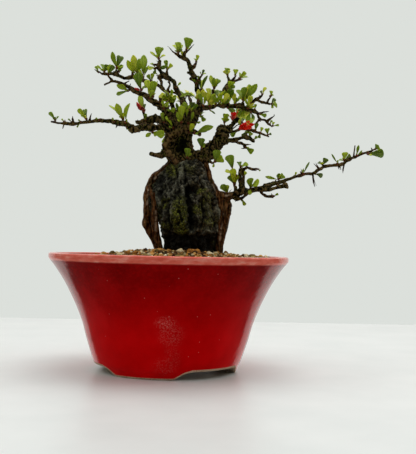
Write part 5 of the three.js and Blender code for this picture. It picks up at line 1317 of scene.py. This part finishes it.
# look: bare clay, pale lip with painted highlight, painted shade upwards, painted reflection
paint(pot, np.stack([bare, lip * (1 - bare), smooth(pot_height, *PAINTED_SHADE_HEIGHTS), painted_reflection], 1))
add_piece(pot, GLAZE, "glaze", "pot")


# Soil and grains

# The soil's top as (radius, height), its slope towards the right, and its gap to the pot
SOIL_TOP = [(0.6, 71.8), (20, 71.0), (30, 69.7), (42, 68.0), (58, 66.4), (66.2, 65.4)]
SOIL_TILT = 0.02
SOIL_SIDES = 144
SOIL_EDGE, SOIL_RING = 66.2, 1.1
SOIL_GAP = 0.4


def soil_height(r):
    """How high the soil is at a distance from the pot's axis."""
    return np.interp(r, *zip(*SOIL_TOP))


# The soil's underside, with a hollow over the net, then its wall inside the pot's, then its top
under = [(0.6, 14.0), (23.5, 14.0), (24, 10.9), (40.2, 10.9)]
walls = [(r - SOIL_GAP, z + SOIL_GAP) for r, z in POT_INSIDE[:2:-1]]
rings = [(r, float(soil_height(r))) for r in np.arange(SOIL_EDGE, 0.5, -SOIL_RING)]
soil_section = under + [tuple(p) for p in spline(walls[1:], 3)] + rings
soil_points = turned(soil_section, SOIL_SIDES)[0].reshape(-1, 3)
on_top = np.repeat(np.arange(len(soil_section)) >= len(soil_section) - len(rings) + 1, SOIL_SIDES)
bumps = lumps(soil_points, 3.2, 3, 1.9) * 0.5 - 0.35
soil_points[:, 2] += on_top * (bumps + SOIL_TILT * soil_points[:, 0])
soil_points = np.vstack([soil_points, [[0, 0, 14.0], [0, 0, 71.5]]])
soil = build("soil_bed", soil_points, ring_faces(len(soil_section), SOIL_SIDES), 60)
add_piece(soil, SOIL, "soil", "soil")


def gravel(draw, level, planes):
    """An angular pebble about 1 in radius: a ball cut by planes."""
    points = BALLS[level][0] * (1 + 0.1 * draw.normal(size=(1, 3)))
    for _ in range(planes):
        normal = unit(draw.normal(size=3))
        past = points @ normal - draw.uniform(0.62, 0.85)
        points = points - np.clip(past, 0, None)[:, None] * normal * 0.9
    return points


def spun(draw):
    """A random turn as a matrix."""
    q, _ = np.linalg.qr(draw.normal(size=(3, 3)))
    return q * np.sign(np.linalg.det(q))


def clear_of_tree(point, radius):
    """Whether a grain at a point stays off the rock and the roots."""
    for tree in (rock_tree, bark_tree):
        place, normal, _, distance = tree.find_nearest(Vector(point))
        inside = (Vector(point) - place).dot(normal) < 0
        if inside or distance < radius * 0.75:
            return False
    return True


# Loose grains in staggered rows over the soil: their distance, the rows' distance as a share of it, how far
# off their row they lie, the radius of the area, their sizes, and the share of each kind
GRAIN_STEP, ROW_STEP, GRAIN_SCATTER, GRAINS_EDGE = 2.62, 0.866, 0.55, 66.8
GRAIN_SIZES, GRAIN_LEAST, GRAIN_MOST = (0.32, 0.25), 0.85, 2.3
KINDS, KIND_SHARES = ("orange", "dark", "olive", "cream"), (0.42, 0.17, 0.22, 0.19)
grain_draw = np.random.default_rng(11)
shapes = [gravel(grain_draw, 1, 9) for _ in range(30)]
lots = {kind: Lot() for kind in KINDS}
far = int(SOIL_EDGE / GRAIN_STEP)
for row in range(-2 * far, 2 * far):
    for column in range(-far, far + 1):
        x = (column + 0.5 * (row % 2)) * GRAIN_STEP + grain_draw.normal(0, GRAIN_SCATTER)
        y = row * GRAIN_STEP * ROW_STEP + grain_draw.normal(0, GRAIN_SCATTER)
        size = float(np.clip(grain_draw.lognormal(*GRAIN_SIZES), GRAIN_LEAST, GRAIN_MOST))
        kind = grain_draw.choice(KINDS, p=KIND_SHARES)
        lift, tint, wet = grain_draw.uniform(0.0, 0.75), grain_draw.uniform(), grain_draw.uniform()
        matrix, shape = spun(grain_draw), shapes[grain_draw.integers(len(shapes))]
        r = math.hypot(x, y)
        middle = np.array([x, y, float(soil_height(r)) + SOIL_TILT * x + lift * size - 0.1])
        if r <= GRAINS_EDGE - size * 0.8 and clear_of_tree(middle, size):
            points = (shape * size * [1, 0.86, 0.74]) @ matrix + middle
            lots[kind].put(points, BALLS[1][1], (tint, wet * 0.7, lift, 1))

# The CAD's two pebbles: half-lengths and turn
CAD_PEBBLES = {"orange": (2.9, 2.4, 2, 40), "cream": (2.6, 2.2, 1.9, 20)}
# More large grains by the rock: kind, x and z in the front view, depth, half-lengths, turn
LARGE = [
    ("cream", 24.6, 71.3, -25, 2.7, 1.9, 1.5, 10), ("orange", 16.7, 73, -17.5, 2.1, 1.7, 1.5, 60),
    ("orange", -5.8, 73, -13, 3.6, 2.2, 2.1, 0), ("dark", -1, 71, -22, 3.6, 2.4, 1.3, 15),
    ("dark", 17.6, 70.6, -25, 2.6, 1.9, 1.2, 30), ("cream", -17, 71, -12, 1.5, 1.2, 1.1, 50),
    ("dark", -11, 72.4, -8, 1.4, 1.2, 1.2, 20), ("cream", -31.5, 70.6, -14, 1.5, 1.2, 1, 0),
    ("orange", -26.5, 70.5, -14, 2, 1.4, 1.1, 15), ("olive", -19.5, 71.3, -6, 2.4, 1.6, 1.3, 70),
    ("cream", 34.5, 70.8, -16, 1.5, 1.3, 1.1, 35), ("olive", 51, 70.6, -10, 2.4, 1.8, 1.2, 5),
    ("olive", -14, 70.8, -16, 1.9, 1.4, 1.2, 25), ("orange", -23, 71, -10, 1.6, 1.3, 1.1, 45),
    ("olive", 28.4, 71, -20, 2, 1.5, 1.2, 80), ("dark", 31.4, 71.2, -13, 1.6, 1.3, 1.2, 10),
    ("orange", 40.5, 70.4, -12, 1.7, 1.3, 1.1, 65), ("dark", 45, 70.3, -10, 1.8, 1.2, 1.1, 30),
]


def pebble(lot, middle, radii, turn, draw):
    """A worn grain with pits and lumps of its own."""
    points = gravel(draw, 3, 11)
    points = points / np.abs(points).max(axis=0)
    knotty = lumps(points, 0.6, 3, float(middle[0])) * 0.09 + lumps(points, 0.2, 2, float(middle[1])) * 0.03
    points = points * (1 + knotty)[:, None] * radii
    c, s = math.cos(math.radians(turn)), math.sin(math.radians(turn))
    points = points @ np.array([[c, s, 0], [-s, c, 0], [0, 0, 1]])
    lot.put(points + middle, BALLS[3][1], (draw.uniform(0.3, 0.9), 0.2, 0.5, 1))


for kind, (*radii, turn) in CAD_PEBBLES.items():
    node = f"pebble_{kind}"
    corners = np.array([tuple(c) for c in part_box(node)])
    lot = Lot()
    pebble(lot, ((corners[0] + corners[1]) / 2 - AXIS) / MM, radii, turn, grain_draw)
    add_piece(lot.make(f"large_{node}", 45), GRAINS[kind], node, node)
for kind, x, z, y, *radii, turn in LARGE:
    pebble(lots[kind], seen(x, z - 0.55 * radii[2], y), radii, turn, grain_draw)
for kind, lot in lots.items():
    slot = f"pebble_{kind}" if kind in CAD_PEBBLES else "soil"
    add_piece(lot.make(f"grains_{kind}", 45), GRAINS[kind], slot)


# Flowers and buds

def seat_of(node, axis, tall):
    """The foot of a calyx of some height that a CAD node holds, and the matrix that turns +Z to its axis."""
    points, _ = welded_copy(node)
    axis = unit(axis)
    reach = points @ axis
    top = points[reach > reach.max() - 0.05].mean(axis=0)
    turn = Vector((0, 0, 1)).rotation_difference(Vector(axis)).to_matrix()
    return top - axis * tall, np.array(turn)


CALYX_HEIGHT, CALYX_SIDES = 3, 20
# The calyx's section as (radius, height)
CALYX = [(0.35, -0.5), (0.8, 0), (1.1, 0.8), (1.4, 1.9), (1.5, 2.7), (1.2, 3)]


def calyx(lot, foot, turn, draw):
    """A ribbed cup with five sepals."""
    rows = spline(CALYX, 3)
    angle = 2 * math.pi * np.arange(CALYX_SIDES) / CALYX_SIDES
    ribs = 1 + 0.07 * np.cos(5 * angle)
    ring = [[[r * w * math.cos(a), r * w * math.sin(a), z] for a, w in zip(angle, ribs)] for r, z in rows]
    points = np.vstack([np.array(ring).reshape(-1, 3), [[0, 0, -0.8], [0, 0, CALYX_HEIGHT]]])
    along = 0.35 + 0.5 * np.clip(points[:, 2] / CALYX_HEIGHT, 0, 1)
    look = np.column_stack([along, np.full((len(points), 2), 0.4), np.ones(len(points))])
    lot.put(points @ turn.T + foot, ring_faces(len(rows), CALYX_SIDES), look)
    for k in range(5):
        a = 2 * math.pi * (k + 0.5) / 5
        out = np.array([math.cos(a), math.sin(a), 0])
        base, tip = out * 1.35 + [0, 0, 2.5], out * 1.9 + [0, 0, 4.3 + draw.uniform(-0.3, 0.3)]
        put_blade(lot, 1, 0.5, turn @ base + foot, turn @ tip + foot, 1.6, turn @ -out, bend=-0.1, cup=0.5,
                  tooth=0.0, thick_mm=0.3, rows=8, columns=5)


def petals(rows, draw):
    """A lot for each of some cupped petals that face their own middle. A row is a foot and a tip, each as x
    and z in the front view and y, and a width."""
    ends = [(seen(*foot), seen(*tip)) for foot, tip, _ in rows]
    heart = np.mean([foot + tip for foot, tip in ends], axis=0) / 2
    for (foot, tip), (_, _, width) in zip(ends, rows):
        lot = Lot()
        put_blade(lot, 1, draw.uniform(0.25, 0.9), foot, tip, width, heart - (foot + tip) / 2, bend=-0.1,
                  cup=0.4, tooth=0.04, thick_mm=0.28, wave=0.09, notch=draw.uniform(-0.1, 0.12), outline=fan,
                  rows=22, columns=13)
        yield lot


# Which way the two flowers point, and their petals
FLOWER_AXIS = (0.86, -0.36, 0.36)
HALF_OPEN_AXIS = (-0.18, 0.3, 0.94)
OPEN_PETALS = [
    ((40.8, 148.0, 6.4), (48.0, 147.9, 4.4), 2.6), ((40.8, 148.7, 7.8), (50.0, 151.0, 8.4), 2.5),
    ((40.6, 149.0, 7.4), (47.6, 153.0, 7.2), 2.4), ((40.6, 149.0, 5.6), (45.6, 151.4, 2.8), 2.8),
    ((40.7, 148.4, 5.4), (49.4, 149.4, 2.8), 2.8),
]
CUP_PETALS = [
    ((37.2, 153.6, 3.6), (36, 158.8, 2.6), 2.4), ((37.8, 153.8, 3.4), (37.6, 157.4, 1.8), 2.6),
    ((38.2, 154, 4.2), (40.4, 159.8, 4.4), 1.8), ((37.8, 153.8, 5), (38.2, 158, 6.4), 2.6),
    ((37.4, 153.8, 4.6), (36.4, 158.4, 5.6), 2.4),
]


def stamens(lot, foot, turn, count, length, spread, draw):
    """Threads that rise from the calyx and fan out, each with an anther on its end."""
    for k in range(count):
        angle, out = 2.4 * k, math.sqrt((k + 0.5) / count)
        side = np.array([math.cos(angle), math.sin(angle), 0])
        base = side * 0.9 * out + [0, 0, 3.05]
        tip = base + side * spread * out + [0, 0, length * draw.uniform(0.75, 1.0)]
        middle = (base + tip) / 2 + side * 0.15
        points, faces = tube([turn @ p + foot for p in (base, middle, tip)], [0.1, 0.08, 0.07], 5)
        along = np.linspace(0, 1, len(points))
        lot.put(points, faces, np.column_stack([along, np.full((len(points), 3), [0.5, 0.5, 1])]))
        ball, faces = BALLS[1]
        head = ball * [0.26, 0.2, 0.38] * (1 + 0.12 * draw.normal(size=(len(ball), 1)))
        lot.put((head + tip + [0, 0, 0.2]) @ turn.T + foot, faces, (0.5, 0.5, 0.5, 0.0))


def add_calyx(node, axis, draw):
    """Puts a calyx in a CAD calyx's place, and tells its foot and its turn."""
    foot, turn = seat_of(node, axis, CALYX_HEIGHT)
    lot = Lot()
    calyx(lot, foot, turn, draw)
    add_piece(lot.make(f"{node}_sepals"), SHEATH, "calyx", node)
    return foot, turn


flower_draw = np.random.default_rng(5)
foot, turn = add_calyx("flower_calyx", FLOWER_AXIS, flower_draw)
for k, lot in enumerate(petals(OPEN_PETALS, flower_draw)):
    add_piece(lot.make(f"petal_{k + 1}"), PETAL, "petal", f"flower_petal_{k + 1}")
threads = Lot()
stamens(threads, foot, turn, 24, 3.6, 0.9, flower_draw)
add_piece(threads.make("stamens"), STAMEN, "stamen", "flower_stamens")
add_calyx("flower_2_calyx", HALF_OPEN_AXIS, flower_draw)
cup = Lot()
for lot in petals(CUP_PETALS, flower_draw):
    cup.put(np.concatenate(lot.points), lot.faces, np.concatenate(lot.look))
add_piece(cup.make("flower_2_cup"), PETAL, "petal", "flower_2_petals")


def closed_bud(lot, middle, axis, radius, half, red=0.5):
    """A pointed bud wrapped in overlapping scales, the more brown the lower red is."""
    side, other, along = turned_frame(axis)
    for k in range(9):
        angle = 2.4 * k
        out = side * math.cos(angle) + other * math.sin(angle)
        level = k / 8
        base = middle - along * half * (1 - 0.7 * level) + out * radius * 0.3
        tip = middle + along * half * (0.1 + 0.9 * level) + out * radius * 0.35 * (1 - level)
        put_blade(lot, 1, red, base, tip, radius * 1.9, -out, bend=-0.32, cup=0.7, tooth=0, thick_mm=0.25,
                  outline=oval, rows=9, columns=7)
    core = BALLS[2][0] * radius * 0.8
    core = core + np.outer(core @ along, along) * (half / radius - 0.9)
    lot.put(core + middle, BALLS[2][1], (0.5, 0.3, red, 1))


# The CAD's buds: the axis they point along, their radius and their half length
BUDS = {"bud_upper_left": (-0.95, -0.3, 0.25, 0.8, 1.9), "bud_shoot": (-0.55, -0.3, 0.75, 1.15, 3.2)}
for node, (*axis, radius, half) in BUDS.items():
    points, _ = welded_copy(node)
    lot = Lot()
    closed_bud(lot, (points.min(axis=0) + points.max(axis=0)) / 2, axis, radius, half)
    add_piece(lot.make(f"{node}_scales"), SHEATH, "petal", node)
# A third, brown bud that the CAD leaves to this script
BROWN_BUD_AXIS = (-0.3, -0.4, 0.9)
lot = Lot()
seat, _ = on_bark(-17.4, 155.8)
closed_bud(lot, seat + unit(BROWN_BUD_AXIS) * 2.6, BROWN_BUD_AXIS, 0.95, 2.7, 0.15)
add_piece(lot.make("bud_shoot_second"), SHEATH, "petal")


# Wire clip over the net

# The wire's radius and where its legs go down through the hole, which then bend outwards under the floor
WIRE_RADIUS, LEG = 0.8, 5.6
wire_low, wire_high = [np.array(c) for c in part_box("net_wire")]
reach = (wire_high[0] - wire_low[0]) / 2 / MM
bottom, top = wire_low[2] / MM + WIRE_RADIUS, wire_high[2] / MM - WIRE_RADIUS
half_wire = [(-reach, bottom), (-LEG - 4, bottom), (-LEG - 1.6, bottom), (-LEG - 0.4, bottom + 0.5),
             (-LEG, bottom + 1.6), (-LEG, top - 1.6), (-LEG + 0.4, top - 0.5), (-LEG + 1.6, top), (0, top)]
whole = half_wire + [(-x, z) for x, z in half_wire[-2::-1]]
path = spline([(x, 0, z) for x, z in whole], 4)
points, faces = tube(path, [WIRE_RADIUS] * len(path), 14, rough=0.02)
add_piece(build("clip_wire", points, faces), wire_material(), "wire", "net_wire")


# Winter buds, short spurs and thorns

# How many small spurs, and how thick the twigs are that carry them
SPUR_COUNT, SPUR_TWIGS = 110, (0.7, 3.2)
# Thorns and twig ends: x and z of the foot, x and z of the tip in the front view, radius of the foot
THORNS = [
    (86.6, 119.4, 88.6, 113.4, 0.6), (90.4, 124.6, 87.6, 127.8, 0.5), (81, 120.6, 79.8, 124.4, 0.35),
    (47, 123.6, 52.4, 122.4, 0.8), (-51, 150.2, -49.6, 154.6, 0.35), (57.4, 153.2, 62.6, 156.6, 0.4),
    (-60.6, 148.4, -60.9, 152.8, 0.4), (42.8, 105.6, 39.4, 103, 0.5), (35.4, 109, 37.4, 110.6, 0.3),
    (106.2, 126.6, 105.9, 122.2, 0.55), (112.6, 132.6, 112.9, 139.6, 0.5),
    (102.2, 126.4, 103.6, 124.4, 0.35), (-9.4, 185.6, -13.2, 186.2, 1.0), (-9.4, 183.8, -12.4, 183.2, 0.9),
    (-8.6, 187, -10.8, 188.4, 0.5), (12, 181.4, 9.2, 181.2, 0.9), (-24.4, 177.4, -24.8, 180.2, 0.9),
    (-8, 161.6, -8.6, 165.6, 0.6),
]
spur_draw = np.random.default_rng(3)
spurs = Lot()
twigs = (thick > SPUR_TWIGS[0]) & (thick < SPUR_TWIGS[1]) & (is_root < 0.05) & (wood_height > 100)
for i in spur_draw.permutation(np.flatnonzero(twigs))[:SPUR_COUNT]:
    out = unit(wood_normals[i] + [0, 0, 0.35] + 0.3 * spur_draw.normal(size=3))
    size = spur_draw.uniform(0.35, 0.8)
    base = wood_moved[i] - out * 0.3
    tip = base + out * size * spur_draw.uniform(1.6, 3.2)
    middle = (base + tip) / 2 + spur_draw.normal(0, 0.12, 3)
    points, faces = tube([base, middle, tip], [size * 0.62, size * 0.55, size * 0.2], 7, i, 0.15)
    # The last value is the bark's painted shade and highlight; from 0.6 up it paints the spur paler.
    spurs.put(points, faces, (0, 0.1, 0.9, 0.6 + 0.4 * spur_draw.uniform()))
for x, z, tip_x, tip_z, size in THORNS:
    base, normal = on_bark(x, z)
    base = base - normal * 0.4
    tip = seen(tip_x, tip_z, base[1] - 1)
    middle = (base + tip) / 2 + normal * 0.3
    points, faces = tube([base, middle, tip], [size, size * 0.7, size * 0.2], 8, x, 0.12)
    spurs.put(points, faces, (0, 0.1, 0.8, 0.6))
add_piece(spurs.make("twig_spurs"), BARK, "bark")


# Stage, lights and camera

def pale_floor():
    """A plain, slightly glossy floor."""
    s = Shader("table")
    fine = s.noise(40, 3, 0.5)
    base = s.ramp(fine, (0.3, "#dfe4e2"), (0.7, "#e6eae8"))
    return s.finish(Base_Color=base, Roughness=0.35, Specular_IOR_Level=0.3)


# The floor ends behind the part, where the front view shows its back edge.
TABLE_FRONT, TABLE_BACK, TABLE_SIDE, TABLE_THICK = -900, 323.0, 1300, 20
outline = [(-TABLE_SIDE, TABLE_FRONT), (TABLE_SIDE, TABLE_FRONT), (TABLE_SIDE, TABLE_BACK),
           (-TABLE_SIDE, TABLE_BACK)]
corners = [(x, y, z) for z in (0, -TABLE_THICK) for x, y in outline]
sides = [(k, k + 4, (k + 1) % 4 + 4, (k + 1) % 4) for k in range(4)]
table = build("table", corners, [(0, 1, 2, 3), (7, 6, 5, 4), *sides], 30)
table.data.materials.append(pale_floor())
table.visible_glossy = False

world = bpy.data.worlds.new("studio")
bpy.context.scene.world = world
# A bright ceiling and a bright wall behind light the part, and the camera itself sees a plain grey-green.
SOFT_EDGE = {"interpolation_type": "SMOOTHSTEP"}
sky = Nodes(world)
way = sky.node("ShaderNodeTexCoord").outputs["Generated"]
rightward, backward, upward = sky.node("ShaderNodeSeparateXYZ", way).outputs
leant = sky.math("MULTIPLY_ADD", rightward, 0.07, backward)
behind = sky.span(leant, 0.66, 0.7, **SOFT_EDGE)
above = sky.span(upward, 0.35, 0.8, **SOFT_EDGE)
level = sky.span(sky.math("MAXIMUM", behind, above), 0.0, 1.0, 0.08, 0.8)
soft = sky.node("ShaderNodeBackground", (1.0, 0.985, 0.95, 1), level).outputs[0]
plain = sky.node("ShaderNodeBackground", (0.715, 0.745, 0.71, 1), 1.0).outputs[0]
camera_ray = sky.node("ShaderNodeLightPath").outputs["Is Camera Ray"]
both = sky.node("ShaderNodeMixShader", camera_ray, soft, plain).outputs[0]
sky.node("ShaderNodeOutputWorld", both)


def soft_light(name, place, aim, wide, tall, power):
    """An area light, with its place, aim and size in metres from the foot of the pot's axis."""
    data = bpy.data.lights.new(name, "AREA")
    data.shape, data.size, data.size_y, data.energy = "RECTANGLE", wide, tall, power
    obj = added(name, data)
    obj.location = Vector(place) + Vector(AXIS)
    obj.rotation_euler = (Vector(aim) - Vector(place)).to_track_quat("-Z", "Y").to_euler()


soft_light("overhead", (0.1, 0.05, 0.9), (0, 0, 0.08), 0.9, 0.7, 4.2)
soft_light("window", (-0.9, -0.25, 0.75), (0, 0, 0.1), 0.5, 0.6, 1.6)
soft_light("right", (0.95, 0.15, 0.5), (0, 0, 0.1), 0.5, 0.6, 0.9)

# The lens as its focal length in pixels, for a picture of this height, and the camera's turns in degrees
FOCAL_PIXELS, FRAME_HEIGHT, SENSOR = 818, 454, 36
YAW, PITCH, ROLL = 2.66, 1.33, 1.25
camera = added("camera", bpy.data.cameras.new("camera"))
bpy.context.scene.camera = camera
camera.data.sensor_fit = "VERTICAL"
camera.data.sensor_height = SENSOR
camera.data.lens = FOCAL_PIXELS * SENSOR / FRAME_HEIGHT
camera.data.clip_start = 0.01
yaw, pitch, roll = (math.radians(a) for a in (YAW, PITCH, ROLL))
forward = Vector((math.sin(yaw) * math.cos(pitch), math.cos(yaw) * math.cos(pitch), math.sin(pitch)))
right = Vector((math.cos(yaw), -math.sin(yaw), 0))
over = right.cross(forward)
cam_right = right * math.cos(roll) + over * math.sin(roll)
cam_up = over * math.cos(roll) - right * math.sin(roll)
place = Vector((AXIS[0], AXIS[1] - VIEW_DISTANCE * MM, VIEW_HEIGHT * MM))
camera.matrix_world = Matrix.Translation(place) @ Matrix((cam_right, cam_up, -forward)).transposed().to_4x4()
bpy.context.scene.view_settings.view_transform = "Standard"
